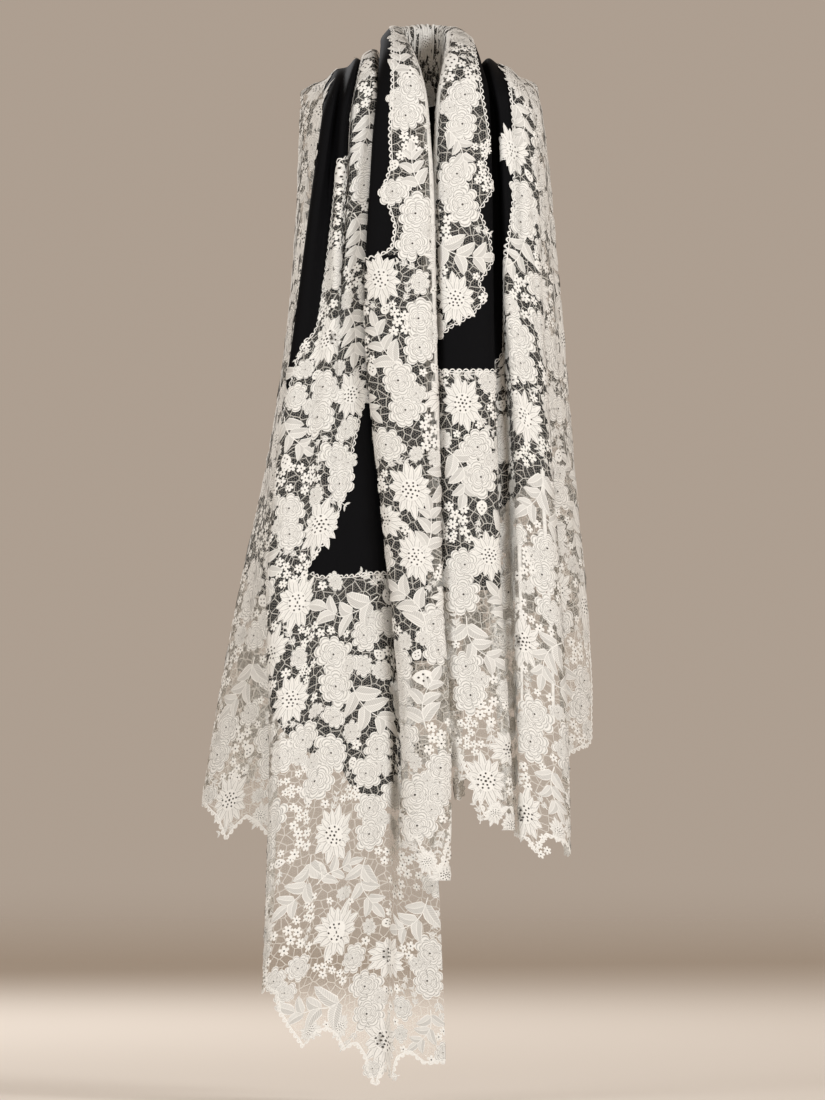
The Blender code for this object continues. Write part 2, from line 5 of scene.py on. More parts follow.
import bpy
import numpy as np
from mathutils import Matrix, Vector


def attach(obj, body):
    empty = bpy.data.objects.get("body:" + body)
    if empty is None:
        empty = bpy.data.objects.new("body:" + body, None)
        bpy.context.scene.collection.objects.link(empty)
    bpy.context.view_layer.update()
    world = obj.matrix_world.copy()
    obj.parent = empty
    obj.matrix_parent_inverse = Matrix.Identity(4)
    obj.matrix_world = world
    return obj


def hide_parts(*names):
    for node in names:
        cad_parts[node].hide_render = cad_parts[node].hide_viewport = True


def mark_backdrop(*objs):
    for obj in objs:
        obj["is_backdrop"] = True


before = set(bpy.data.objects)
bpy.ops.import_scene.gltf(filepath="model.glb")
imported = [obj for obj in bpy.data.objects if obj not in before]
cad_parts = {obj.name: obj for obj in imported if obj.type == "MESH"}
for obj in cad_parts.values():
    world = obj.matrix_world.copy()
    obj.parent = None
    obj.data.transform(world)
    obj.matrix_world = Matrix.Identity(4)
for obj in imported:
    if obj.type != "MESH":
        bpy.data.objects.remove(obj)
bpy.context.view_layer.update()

# ---------------------------------------------------------------- driving dimensions
UNIT = 0.00137  # metres for one unit of the pattern drawing, used by every table
MID = 420.0  # drawing x of the centre line, counted from the left
CARRY = 60.0  # drawing level of the carried shoulder line, counted downwards
WALL = 0.0012  # cloth wall
SEAM_PULL = 0.0002  # each piece stands back from a seam by this, round the cape
SEAM_ROW = 0.004  # and by this many rows along it
WELD = 0.000002  # corners this close are one
LIFT = 0.0026  # how far the applied lace stands off the black cloth's own surface
RIDGE_Y = 8.0  # mm, where the cape passes over the top of the shoulder
ARCH = 46.0  # drawing units from the shoulder line down to where the cape hangs straight
BACK_Y = 104.0  # mm, how far behind the centre the back hangs
BACK_FLARE = 10.0  # mm, how much further it swings out at the hem
HANG = 1.0 / (ARCH * math.pi / 2)  # rows of cloth for each unit that hangs straight

BLACK = (0.010, 0.010, 0.013, 1.0)
IVORY = (0.75, 0.73, 0.66, 1.0)

# Levels down the drawing at which a fold line's x is stated.
LEVELS = (120, 200, 300, 450, 600, 750, 900, 1050)
# Levels at which its depth in mm is stated: minus is towards the front.
DEEP_AT = (130, 450, 900)

# Fold lines of the cape, from the collar outwards over each shoulder. Columns: name,
# shoulder point (x, level), x at LEVELS, depth at DEEP_AT, hem level in front, share of
# the way across the back where the same line hangs behind, and its fold there in mm.
LEFT = (
    # name       top        x at LEVELS                               depth at DEEP_AT   hem   back  fold
    ("under",   (386, 68), (389, 385, 380, 392, 409, 430, 440, 446), (-88, -98, -104), 1052, 0.375, 0),
    ("deep",    (380, 60), (380, 375, 371, 383, 397, 401, 399, 394), (-86, -92, -90),  1050, 0.350, 7),
    ("strip_r", (374, 49), (374, 368, 361, 369, 380, 387, 385, 380), (-105, -108, -110), 1074, 0.325, -5),
    ("strip_l", (366, 53), (354, 351, 347, 349, 353, 355, 354, 351), (-104, -104, -104), 1044, 0.295, 6),
    ("cleft",   (361, 59), (350, 346, 340, 337, 339, 339, 337, 334), (-98, -100, -101),  1030, 0.265, -6),
    ("pleat",   (356, 57), (344, 339, 334, 323, 321, 322, 319, 316), (-112, -107, -106), 1028, 0.235, 6),
    ("valley",  (347, 66), (335, 329, 320, 308, 304, 305, 303, 300), (-95, -101, -102),  1038, 0.205, -5),
    ("swell",   (337, 68), (331, 320, 308, 293, 285, 287, 284, 280), (-109, -108, -106), 1010, 0.175, 6),
    ("edge",    (328, 78), (322, 311, 298, 279, 268, 270, 267, 261), (-98, -96, -92),    990,  0.140, -3),
    ("tuck",    (323, 81), (326, 317, 304, 286, 276, 279, 276, 270), (-79, -78, -76),    868,  0.105, 2),
    ("side_in", (317, 83), (316, 307, 298, 281, 263, 260, 260, 260), (-62, -60, -56),    824,  0.065, 0),
    ("side",    (310, 86), (308, 303, 295, 275, 252, 234, 226, 224), (-36, -34, -32),    836,  0.030, 0),
    ("outline", (302, 92), (301, 298, 291, 270, 238, 211, 190, 180), (5, 5, 5),          800,  0.000, 0),
)
RIGHT = (
    ("under",   (478, 70), (478, 480, 482, 484, 488, 498, 500, 500), (-74, -84, -88),    806,  0.375, 0),
    ("valley",  (482, 63), (496, 499, 502, 506, 511, 515, 517, 517), (-73, -76, -80),    815,  0.350, -6),
    ("crest",   (489, 57), (501, 505, 508, 519, 519, 522, 524, 524), (-97, -104, -104),  818,  0.325, 5),
    ("pillar",  (498, 63), (510, 515, 519, 529, 534, 538, 540, 540), (-94, -101, -104),  846,  0.290, -5),
    ("swell",   (508, 67), (521, 526, 530, 540, 547, 553, 556, 556), (-99, -102, -102),  836,  0.250, 6),
    ("edge",    (519, 77), (534, 538, 541, 550, 560, 567, 569, 569), (-84, -86, -86),    849,  0.205, -4),
    ("tuck",    (525, 79), (531, 534, 536, 544, 553, 560, 562, 562), (-66, -66, -66),    765,  0.155, 4),
    ("side_in", (529, 81), (538, 542, 546, 557, 569, 578, 582, 584), (-50, -50, -50),    744,  0.100, -1),
    ("side",    (533, 83), (541, 547, 554, 566, 579, 590, 592, 592), (-28, -28, -28),    732,  0.045, 0),
    ("outline", (536, 86), (542, 551, 560, 572, 586, 596, 600, 602), (5, 5, 5),          620,  0.000, 0),
)

# Lines of the back below the collar, across from left to right. Columns: name, share of
# the way across, top (x, level, depth in mm) under the collar, fold in mm, and the levels
# it takes to ease out over the shoulder blades.
NAPE = (
    ("side_l",  0.410, (391, 69, 32), 6,  60),
    ("turn_l",  0.440, (399, 70, 50), -6, 84),
    ("back_l",  0.468, (409, 71, 68), 5,  98),
    ("centre",  0.500, (427, 72, 82), -6, 96),
    ("back_r",  0.532, (445, 71, 68), 5,  98),
    ("turn_r",  0.560, (454, 70, 49), -6, 84),
    ("side_r",  0.590, (464, 71, 31), 6,  60),
)
BACK_HEM = (800, 752, 724, 700, 612)  # hem levels at equal steps across the back, left to right
PLEAT_FADE = 330.0  # drawing level where the pleats behind have gone soft

# Edges of the rolled collar's hanging ends: inner is beside the front opening. The hem
# levels run across the roll from the inner flap's edge to the outer flap's edge.
ROLL_LEVELS = (120, 200, 300, 450, 600, 750, 860)
ROLL_LEFT = {
    "inner": (428, 433, 435, 439, 442, 450, 449),
    "outer": (375, 370, 365, 376, 392, 403, 400),
    "depth": (-125, -133, -138, -138, -138, -136, -134),
    "levels": (880, 820, 760, 690, 610, 530, 450, 370, 300, 240, 180, 135),
    "hem": (790, 800, 832, 868, 850, 838, 815, 800),
}
ROLL_RIGHT = {
    "inner": (436, 434, 435, 436, 441, 452, 462),
    "outer": (490, 492, 493, 496, 500, 509, 514),
    "depth": (-112, -114, -115, -115, -115, -114, -114),
    "levels": (830, 770, 710, 650, 590, 520, 450, 380, 310, 250, 190, 140),
    "hem": (715, 722, 738, 770, 812, 808, 818, 800),
}
# Cross sections of the collar over the shoulders and round the neck, from the left front
# to the right front. Columns: inner edge (x, level, depth), outer edge (x, level, depth),
# bulge in mm, its pitch above straight forward, and the length in mm of each flap with its
# turn outwards from straight under the roll.
COLLAR = (
    # inner             outer              bulge pitch  inner flap, turn  outer flap, turn
    ((426, 101, -121), (378, 101, -117),   15,   22,    26,  52,          11, -36),
    ((421, 77, -106),  (379, 80, -104),    15,   42,    30,  46,          11, -36),
    ((413, 54, -80),   (380, 63, -79),     15,   62,    40,  40,          11, -30),
    ((404, 37, -36),   (381, 51, -31),     14,   78,    56,  38,          14, -20),
    ((400, 29, 8),     (383, 47, 22),      13,   86,    76,  39,          18, -10),
    ((404, 26, 44),    (389, 48, 66),      12,   90,    96,  41,          30, 24),
    ((414, 24, 61),    (404, 50, 90),      11,   90,    108, 46,          44, 56),
    ((426, 23, 66),    (427, 51, 98),      11,   90,    112, 47,          48, 60),
    ((438, 24, 61),    (449, 50, 90),      11,   90,    108, 45,          44, 56),
    ((446, 26, 42),    (465, 49, 64),      12,   90,    96,  39,          30, 24),
    ((448, 30, 8),     (474, 52, 22),      13,   86,    76,  35,          18, -10),
    ((448, 39, -30),   (478, 57, -20),     13,   78,    56,  36,          16, -20),
    ((446, 54, -68),   (482, 68, -58),     13,   62,    40,  40,          15, -25),
    ((442, 76, -94),   (487, 84, -88),     13,   42,    30,  46,          14, -29),
    ((438, 100, -107), (489, 103, -103),   13,   22,    26,  52,          14, -29),
)
ROLL_HANGING = (15.0, 24.0, 56.0, 15.0, -29.0)  # bulge, and the same flaps on the hanging ends

# Levels where the black cloth and the lace start and end, at each fold line of the cape
# from the collar outwards. None: from the shoulder line, or down to the hem.
LEFT_ENDS = (
    # name      black to  band from  band to  end from
    ("under",   640,      None,      380,     576),
    ("deep",    778,      None,      386,     576),
    ("strip_r", 800,      None,      396,     574),
    ("strip_l", 790,      None,      462,     577),
    ("cleft",   766,      158,       512,     578),
    ("pleat",   758,      160,       544,     578),
    ("valley",  750,      326,       572,     572),
    ("swell",   735,      348,       586,     586),
    ("edge",    702,      440,       588,     588),
    ("tuck",    690,      470,       590,     590),
)
RIGHT_ENDS = (
    # name      black to  lace from
    ("under",   590,      372),
    ("valley",  480,      352),
    ("crest",   480,      262),
    ("pillar",  480,      190),
    ("swell",   480,      None),
    ("edge",    470,      None),
    ("tuck",    460,      None),
)
# Black behind the lace round the left side, at each fold line from the front tuck round
# to the back tuck: from and to.
SIDE_FROM = (240, 240, 240, 240, 220, 170, None)
SIDE_TO = (560, 560, 562, 570, 588, 600, 606)
BACK_BORDER = 300  # depth of the lace border across the back
BACK_UNDER = 110  # how far the black cloth reaches down behind it
BACK_CORNER = (130, 200, 320, 390, 430)  # levels where that border starts at its corners, side first

# Places across the roll (see Roll) where the lace ends and the black cloth starts, as
# (level, place) down each hanging end, and for each section of the collar.
ROLL_LACE = {
    "left":  ((135, 4.5), (170, 4.4), (195, 4.8), (228, 4.2), (258, 4.4)),
    "right": ((140, 5.5), (188, 5.8), (212, 4.7), (262, 5.6), (284, 4.6), (300, 4.9), (316, 4.0), (329, 3.0), (334, 2.7)),
}
COLLAR_LACE = (4.5, 4.4, 4.0, 3.1, 2.9, 3.1, 3.5, 4.0, 3.8, 3.9, 4.2, 4.3, 4.5, 4.8, 5.1)
ROLL_STRIP = (258, 334)  # levels on the left and right ends where that strip of lace ends
ROLL_LACE_AGAIN = (261, 372)  # and from where lace covers the whole roll
ROLL_BLACK = {
    "left":  ((135, 3.2), (660, 3.2)),
    "right": ((140, 0.6), (590, 0.6)),
}
COLLAR_BLACK = (3.2, 3.1, 2.8, 2.1, 2.0, 2.1, 2.5, 2.8, 2.7, 2.7, 2.9, 3.0, 3.1, 3.2, 3.2)
NAPE_AT = (4, 10)  # collar sections between which black shows inside the neck
NAPE_TO = 1.1  # place across up to which it reaches, under the lace
NAPE_LACE_AT = (2.5, 4, 10, 11.5)  # collar sections, and where the lace starts at them
NAPE_LACE = (0, 0.72, 0.72, 0)
NOTCH = 13.0  # how far the hem rises between its points

# The lattice that every layer shares: rows down the cape, and places across the roll.
ROWS = (0, 0.22, 0.44, 0.66, 0.86, 1.1, 1.5) + tuple(2.1 + k for k in range(13))
ACROSS = (0, 1, 2, 2.6, 3.2, 4, 4.6, 5.2, 6, 7)
BEND = 1.12  # rows above this arch over the shoulder


# ---------------------------------------------------------------- curves
def soft(values, at, axis=-1):
    """Values at whole-numbered places along an axis, read smoothly at any place, with no overshoot."""
    values = np.moveaxis(np.asarray(values, float), axis, -1)
    at = np.asarray(at, float)
    n = values.shape[-1]
    step = np.diff(values, axis=-1)
    before, after = step[..., :-1], step[..., 1:]
    same = before * after > 0
    total = np.where(same, before + after, 1.0)
    inside = np.where(same, 2 * before * after / total, 0.0)
    slope = np.concatenate([step[..., :1], inside, step[..., -1:]], axis=-1)
    i = np.clip(np.floor(at).astype(int), 0, n - 2)
    t = at - i
    shape = np.broadcast_shapes(values.shape[:-1], at.shape)
    i = np.broadcast_to(i, shape)[..., None]
    t = np.broadcast_to(t, shape)
    take = lambda a, k: np.take_along_axis(np.broadcast_to(a, shape + a.shape[-1:]), k, -1)[..., 0]
    p0, p1, m0, m1 = take(values, i), take(values, i + 1), take(slope, i), take(slope, i + 1)
    return (
        p0 * (2 * t**3 - 3 * t**2 + 1)
        + m0 * (t**3 - 2 * t**2 + t)
        + p1 * (-2 * t**3 + 3 * t**2)
        + m1 * (t**3 - t**2)
    )


def along(knots, values, at):
    """A smooth curve through (knot, value) pairs of uneven spacing."""
    knots, values, at = (np.asarray(a, float) for a in (knots, values, at))
    gap = np.diff(knots)
    rate = np.diff(values) / gap
    same = rate[:-1] * rate[1:] > 0
    total = np.where(same, rate[:-1] + rate[1:], 1.0)
    slope = np.concatenate([rate[:1], np.where(same, 2 * rate[:-1] * rate[1:] / total, 0.0), rate[-1:]])
    at = np.clip(at, knots[0], knots[-1])
    i = np.clip(np.searchsorted(knots, at, side="right") - 1, 0, len(knots) - 2)
    h = gap[i]
    t = (at - knots[i]) / h
    return (
        values[i] * (2 * t**3 - 3 * t**2 + 1)
        + slope[i] * h * (t**3 - 2 * t**2 + t)
        + values[i + 1] * (-2 * t**3 + 3 * t**2)
        + slope[i + 1] * h * (t**3 - t**2)
    )


# ---------------------------------------------------------------- the cape
# A row number r counts cloth down from the shoulder line: 0 on it, 1 where it starts to
# hang straight.
def drop(r):
    r = np.asarray(r, float)
    return np.where(r < 1, ARCH * (1 - np.cos(np.clip(r, 0, 1) * math.pi / 2)), ARCH + (r - 1) / HANG)


def row_of(fall):
    fall = np.asarray(fall, float)
    bend = np.arccos(np.clip(1 - fall / ARCH, -1, 1)) / (math.pi / 2)
    return np.where(fall < ARCH, bend, 1 + (fall - ARCH) * HANG)


def outline_x(table, level):
    top, xs = table[-1][1:3]
    return along((top[1],) + LEVELS, (top[0],) + xs, level)


def share_x(share, level):
    """Drawing x of a line that hangs a given share of the way across the back."""
    left, right = outline_x(LEFT, level), outline_x(RIGHT, level)
    return left + share * (right - left)


def back_depth(share, fold, level):
    """Depth in mm of the back: flat between the shoulder blades, turned in at the sides."""
    side = min(share, 1 - share)
    turned = math.sqrt(max(0.0, 1 - max(0.0, 1 - side / 0.16) ** 2))
    fade = np.clip((PLEAT_FADE - level) / (PLEAT_FADE - ARCH - CARRY), 0, 1)
    flare = BACK_FLARE * np.clip((level - CARRY) / 700.0, 0, 1)
    return 5 + (BACK_Y + flare - 5) * turned + fold * (0.6 + 0.55 * fade) * min(turned * 1.5, 1)


def hang(x_of, depth_of, top, start_y, r, reach=None):
    """One fold line at rows r: x, depth in mm and level.

    It arches out over the shoulder, or eases out over a reach of levels."""
    level = top + drop(r)
    if reach:
        t = np.clip((level - top) / reach, 0, 1)
        out = t * t * (3 - 2 * t)
    else:
        out = np.sin(np.clip(r, 0, 1) * math.pi / 2)
    return x_of(level), start_y + (depth_of(level) - start_y) * out, level


def front_line(row, r):
    top, xs, deep = row[1:4]
    return hang(
        lambda v: along((top[1],) + LEVELS, (top[0],) + xs, v),
        lambda v: along(DEEP_AT, deep, v),
        top[1], RIDGE_Y, r,
    )


def behind_line(top, start_y, share, fold, r, reach=None):
    """A line that leaves a shoulder point and eases out to its share of the back."""
    def x_of(v):
        ease = np.clip((v - top[1]) / 240.0, 0, 1)
        return top[0] + (share_x(share, v) - top[0]) * ease * ease * (3 - 2 * ease)

    return hang(x_of, lambda v: back_depth(share, fold, v), top[1], start_y, r, reach)


def back_hem(share):
    return float(soft(BACK_HEM, share * (len(BACK_HEM) - 1)))


def ring_lines():
    """(name, curve of r, hem level) for each fold line, once round the cape.

    It runs from the collar's left end outwards over the left front, round the left side,
    across the back, round the right side and in again to the collar's right end."""
    found = [("front_l_" + row[0], lambda r, row=row: front_line(row, r), row[4]) for row in LEFT]
    for row in LEFT[-2::-1]:
        found.append(
            ("back_l_" + row[0], lambda r, row=row: behind_line(row[1], RIDGE_Y, row[5], row[6], r), back_hem(row[5]))
        )
    for row in NAPE:
        found.append(
            (row[0], lambda r, row=row: behind_line(row[2], row[2][2], row[1], row[3], r, row[4]), back_hem(row[1]))
        )
    for row in RIGHT[:-1]:
        found.append(
            ("back_r_" + row[0], lambda r, row=row: behind_line(row[1], RIDGE_Y, 1 - row[5], row[6], r), back_hem(1 - row[5]))
        )
    found += [("front_r_" + row[0], lambda r, row=row: front_line(row, r), row[4]) for row in RIGHT[::-1]]
    return found


class Cape:
    """The cape as a smooth surface over (s, r): s counts fold lines round it, r its rows."""

    def __init__(self):
        lines = ring_lines()
        self.names = [name for name, _, _ in lines]
        self.lines = [curve for _, curve, _ in lines]
        self.hems = np.array([hem for _, _, hem in lines], float)
        self.tops = np.array([float(curve(np.zeros(1))[2][0]) for curve in self.lines])

    def s(self, name):
        return self.names.index(name)

    def hem(self, s):
        """Hem level: it hangs lowest at the fold lines and rises between them."""
        return soft(self.hems, s) - NOTCH * np.sin(math.pi * np.asarray(s, float)) ** 2

    def row(self, s, level):
        return row_of(np.maximum(level - soft(self.tops, s), 0))

    def at(self, s, r):
        """Points in metres."""
        s, r = np.broadcast_arrays(np.asarray(s, float), np.asarray(r, float))
        each = [curve(r) for curve in self.lines]
        x, depth, level = (soft(np.stack([e[k] for e in each], -1), s) for k in range(3))
        return np.stack([(x - MID) * UNIT, depth / 1000, (CARRY - level) * UNIT], -1)


# ---------------------------------------------------------------- the rolled collar
def roll_sections():
    """Every cross section of the roll, from the left hem round the neck to the right hem."""
    found = []

    def hanging(table, levels):
        for v in levels:
            depth = float(along(ROLL_LEVELS, table["depth"], v))
            inner = float(along(ROLL_LEVELS, table["inner"], v))
            outer = float(along(ROLL_LEVELS, table["outer"], v))
            pitch = 12 * max(0.0, 1 - max(0.0, v - 120) / 120.0)
            found.append(((inner, v, depth), (outer, v, depth + 8), ROLL_HANGING[0], pitch) + ROLL_HANGING[1:])

    hanging(ROLL_LEFT, ROLL_LEFT["levels"])
    found.extend(COLLAR)
    hanging(ROLL_RIGHT, ROLL_RIGHT["levels"][::-1])
    return found


class Roll:
    """The rolled neck edge as a smooth surface over (s, q).

    s runs across it from the inner flap's free edge (0) by the inner edge (2), the crest
    (4) and the outer edge (6) to the outer flap's end (7); q counts its cross sections."""

    def __init__(self):
        sections = roll_sections()
        self.count = len(sections)
        self.first = len(ROLL_LEFT["levels"])  # the collar's first section
        self.last = self.first + len(COLLAR) - 1
        control = []
        for inner, outer, bulge, pitch, flap, turn, under, lean in sections:
            a, b = (np.array([(p[0] - MID) * UNIT, p[2] / 1000, (CARRY - p[1]) * UNIT]) for p in (inner, outer))
            e1 = b - a
            w = np.linalg.norm(e1) / 2
            e1 /= 2 * w
            up = np.array([0.0, -math.cos(math.radians(pitch)), math.sin(math.radians(pitch))])
            e2 = up - up.dot(e1) * e1
            e2 /= np.linalg.norm(e2)
            bulge, flap, under, t, u = bulge / 1000, flap / 1000, under / 1000, math.radians(turn), math.radians(lean)
            flat = (
                (-w + flap * math.sin(t), -flap * math.cos(t)),
                (-w + 0.42 * flap * math.sin(t), -0.5 * flap * math.cos(t)),
                (-w, 0.0),
                (-0.62 * w, 0.8 * bulge),
                (0.0, bulge),
                (0.62 * w, 0.74 * bulge),
                (w, 0.0),
                (w + under * math.sin(u), -under * math.cos(u)),
            )
            control.append([(a + b) / 2 + e1 * p + e2 * q for p, q in flat])
        self.control = np.array(control)

    def at(self, s, q):
        """Points in metres."""
        s, q = np.broadcast_arrays(np.asarray(s, float), np.asarray(q, float))
        c = self.control
        i = np.clip(np.floor(q).astype(int), 0, self.count - 2)
        t = (q - i)[..., None, None]
        p0, p1, p2, p3 = c[np.maximum(i - 1, 0)], c[i], c[i + 1], c[np.minimum(i + 2, self.count - 1)]
        rows = 0.5 * (
            2 * p1 + (p2 - p0) * t + (2 * p0 - 5 * p1 + 4 * p2 - p3) * t**2 + (3 * p1 - p0 - 3 * p2 + p3) * t**3
        )
        return np.stack([soft(rows[..., k], s) for k in range(3)], -1)

    def q(self, side, level):
        """Section number at a drawing level on the left or right hanging end."""
        level = np.asarray(level, float)
        knots = (ROLL_LEFT if side == "left" else ROLL_RIGHT)["levels"][::-1]
        place = np.interp(level, knots, np.arange(len(knots)))
        return self.first - 1 - place if side == "left" else self.last + 1 + place

    def hem(self, side, s):
        """Section number of the hem at a place across the roll."""
        table = ROLL_LEFT if side == "left" else ROLL_RIGHT
        return self.q(side, soft(table["hem"], s) - 0.7 * NOTCH * np.sin(math.pi * np.asarray(s, float)) ** 2)

    def edge(self, ends, middle, q):
        """A place across the roll at each section number, from tables by level and section."""
        pairs = [(float(self.q("left", v)), s) for v, s in ends["left"][::-1]]
        pairs += [(self.first + k, s) for k, s in enumerate(middle)]
        pairs += [(float(self.q("right", v)), s) for v, s in ends["right"]]
        return np.interp(q, [k for k, _ in pairs], [s for _, s in pairs])



ROLL_LACE_FINE = {
    "left":  ((135, 4.5), (166, 4.4), (180, 4.6), (195, 4.9), (206, 4.5), (228, 4.15), (250, 4.3), (257, 4.8), (266, 7.0), (880, 7.0)),
    "right": ((140, 5.5), (166, 5.1), (188, 5.8), (212, 4.7), (240, 5.4), (262, 5.6), (284, 4.6), (297, 5.2), (316, 4.2), (329, 3.0), (340, 2.4)),
}


# ---------------------------------------------------------------- fine cloth maps
def normal(surface, s, r, outside):
    """Unit normals on the side away from the wearer."""
    over = surface(s + 0.02, r) - surface(s - 0.02, r)
    pinched = np.linalg.norm(over, axis=-1, keepdims=True) < 1e-5
    over = np.where(pinched, surface(s + 0.02, r + 0.1) - surface(s - 0.02, r + 0.1), over)
    down = surface(s, r + 0.0002) - surface(s, r)
    down = np.where(pinched, surface(s, r + 0.1) - surface(s, r), down)
    n = outside * np.cross(over, down)
    return n / np.maximum(np.linalg.norm(n, axis=-1, keepdims=True), 1e-12)


def spread(values, i, j):
    """Values of a (rows, columns, ...) grid at fractional row i and column j."""
    rows, columns = values.shape[:2]
    i, j = np.clip(i, 0, rows - 1.0001), np.clip(j, 0, columns - 1.0001)
    a, b = i.astype(int), j.astype(int)
    f, g = i - a, j - b
    if values.ndim > 2:
        f, g = f[..., None], g[..., None]
    top = values[a, b] * (1 - g) + values[a, b + 1] * g
    low = values[a + 1, b] * (1 - g) + values[a + 1, b + 1] * g
    return top * (1 - f) + low * f


class Map:
    """A surface sampled finely, with its creases, and with flat cloth metres (u, v) on it."""

    def __init__(self, surface, outside, s, r, creases, scale):
        self.s, self.r = s, r
        S, R = np.meshgrid(s, r)
        p = surface(S, R)
        self.n = normal(surface, S, R, outside)
        over = np.linalg.norm(np.gradient(p, axis=1), axis=-1) / np.gradient(s)[None, :]
        push = np.zeros(S.shape)
        for s_from, r_from, s_to, r_to, bend, depth, width in creases:
            t = (R - r_from) / (r_to - r_from)
            line = s_from + (s_to - s_from) * t + bend * np.sin(math.pi * np.clip(t, 0, 1))
            away = (S - line) * over
            fade = np.sin(math.pi * np.clip(t, 0, 1)) ** 0.7
            push += depth / 1000 * np.exp(-((away / (width / 1000)) ** 2)) * fade
        self.p = p + push[..., None] * self.n
        wide = np.linalg.norm(np.diff(self.p, axis=1), axis=-1)
        self.across = np.concatenate([np.zeros((len(r), 1)), np.cumsum(wide, axis=1)], axis=1)
        tall = np.linalg.norm(np.diff(self.p, axis=0), axis=-1)
        self.tall = np.concatenate([np.zeros((1, len(s))), np.cumsum(tall, axis=0)], axis=0)

    def index(self, s, r):
        return np.interp(r, self.r, np.arange(len(self.r))), np.interp(s, self.s, np.arange(len(self.s)))

    def point(self, s, r, lift):
        i, j = self.index(s, r)
        return spread(self.p, i, j) + spread(self.n, i, j) * np.asarray(lift)[..., None]


class Flat:
    """The cloth round one place across a map, laid flat: (u, v) in metres from there."""

    def __init__(self, cloth, middle, low, high):
        self.cloth = cloth
        j = np.interp(middle, cloth.s, np.arange(len(cloth.s)))
        a, f = int(j), j - int(j)
        self.zero = cloth.across[:, a] * (1 - f) + cloth.across[:, min(a + 1, len(cloth.s) - 1)] * f
        keep = (cloth.s >= low - 0.5) & (cloth.s <= high + 0.5)
        self.v = cloth.tall[:, keep].mean(axis=1)
        u = cloth.across - self.zero[:, None]
        self.grid_u = u
        lo, hi = u[:, keep].min() - 0.03, u[:, keep].max() + 0.03
        self.u = np.linspace(lo, hi, 500)
        self.back = np.stack([np.interp(self.u, row, np.arange(len(cloth.s))) for row in u])

    def uv(self, s, r):
        i, j = self.cloth.index(s, r)
        return np.stack([spread(self.grid_u, i, j), np.interp(r, self.cloth.r, self.v)], -1)

    def sr(self, uv):
        i = np.interp(uv[..., 1], self.v, np.arange(len(self.v)))
        k = np.interp(uv[..., 0], self.u, np.arange(len(self.u)))
        j = spread(self.back, i, k)
        return np.interp(j, np.arange(len(self.cloth.s)), self.cloth.s), np.interp(i, np.arange(len(self.v)), self.cloth.r)

    def place(self, uv, lift):
        """Flat points as points on the worn cloth."""
        i = np.interp(uv[..., 1], self.v, np.arange(len(self.v)))
        k = np.interp(uv[..., 0], self.u, np.arange(len(self.u)))
        j = spread(self.back, i, k)
        return spread(self.cloth.p, i, j) + spread(self.cloth.n, i, j) * np.asarray(lift)[..., None]


# ---------------------------------------------------------------- lace motifs
# Every element is drawn flat in metres: points (x, y), height, its own (across, along)
# coordinates for the finish, quads or triangles, and the finish it takes.
# Of these, dark is painted shade: the eyelet holes and the crease line inside the neck.
FINISHES = ("petal", "lobe", "leaf", "plain", "dark", "rim")


class Drawing:
    """Elements collected flat; later they are laid on a cloth."""

    def __init__(self):
        self.xy, self.h, self.st, self.faces, self.finish, self.n = [], [], [], [], [], 0

    def add(self, xy, h, st, faces, finish):
        self.xy.append(np.asarray(xy, float))
        self.h.append(np.asarray(h, float))
        self.st.append(np.asarray(st, float))
        self.faces.append(np.asarray(faces, int) + self.n)
        self.finish.append(np.full(len(faces), FINISHES.index(finish)))
        self.n += len(xy)


def moved(xy, at, turn=0.0, size=1.0):
    c, s = math.cos(turn), math.sin(turn)
    x, y = xy[:, 0] * size, xy[:, 1] * size
    return np.stack([at[0] + c * x - s * y, at[1] + s * x + c * y], -1)


def grid_faces(rows, columns):
    a = (np.arange(rows - 1)[:, None] * columns + np.arange(columns - 1)[None, :]).reshape(-1)
    return np.stack([a, a + 1, a + columns + 1, a + columns], -1)


PETAL_AT = np.array([0, 0.14, 0.34, 0.58, 0.82, 1.0])
PETAL_ACROSS = np.array([-1, -0.55, 0, 0.55, 1.0])


def petal(out, at, turn, length, width, h, finish="petal", blunt=0.55, bow=0.0):
    """A petal or leaf from its root at 'at', pointing along turn. Low blunt is pointed."""
    t = PETAL_AT[:, None]
    half = width / 2 * np.sin(math.pi * t ** (0.62 + 0.5 * (1 - blunt))) ** (0.55 + 0.35 * (1 - blunt))
    half = np.where(t > 0.999, width * 0.02, np.maximum(half, width * 0.09 * (1 - t)))
    a = PETAL_ACROSS[None, :]
    x = length * t + 0 * a
    y = half * a + bow * length * np.sin(math.pi * t)
    dome = h * (0.45 + 0.55 * (1 - a**2)) * np.sin(math.pi * np.clip(t, 0.06, 0.97)) ** 0.5
    rim = 0.00022 * (np.abs(a) > 0.9)
    xy = moved(np.stack([x.ravel(), y.ravel()], -1), at, turn)
    st = np.stack([(0 * t + a).ravel() * 0.5 + 0.5, (t + 0 * a).ravel()], -1)
    out.add(xy, (dome + rim).ravel(), st, grid_faces(len(PETAL_AT), len(PETAL_ACROSS)), finish)


def lobe(out, at, turn, radius, half_angle, h, finish="lobe"):
    """A rounded, rimmed lobe: a fan from its root."""
    rho = np.array([0.12, 0.4, 0.66, 0.86, 1.0])[:, None]
    phi = np.linspace(-1, 1, 6)[None, :]
    round_off = 1 - 0.30 * np.abs(phi) ** 2.6
    x = radius * rho * round_off * np.cos(phi * half_angle)
    y = radius * rho * round_off * np.sin(phi * half_angle)
    lift = h * (0.35 + 0.65 * rho**1.5) * (1 - 0.25 * phi**2) + 0 * phi
    xy = moved(np.stack([x.ravel(), y.ravel()], -1), at, turn)
    st = np.stack([(0 * rho + phi).ravel() * 0.5 + 0.5, (rho + 0 * phi).ravel()], -1)
    out.add(xy, lift.ravel(), st, grid_faces(5, 6), finish)


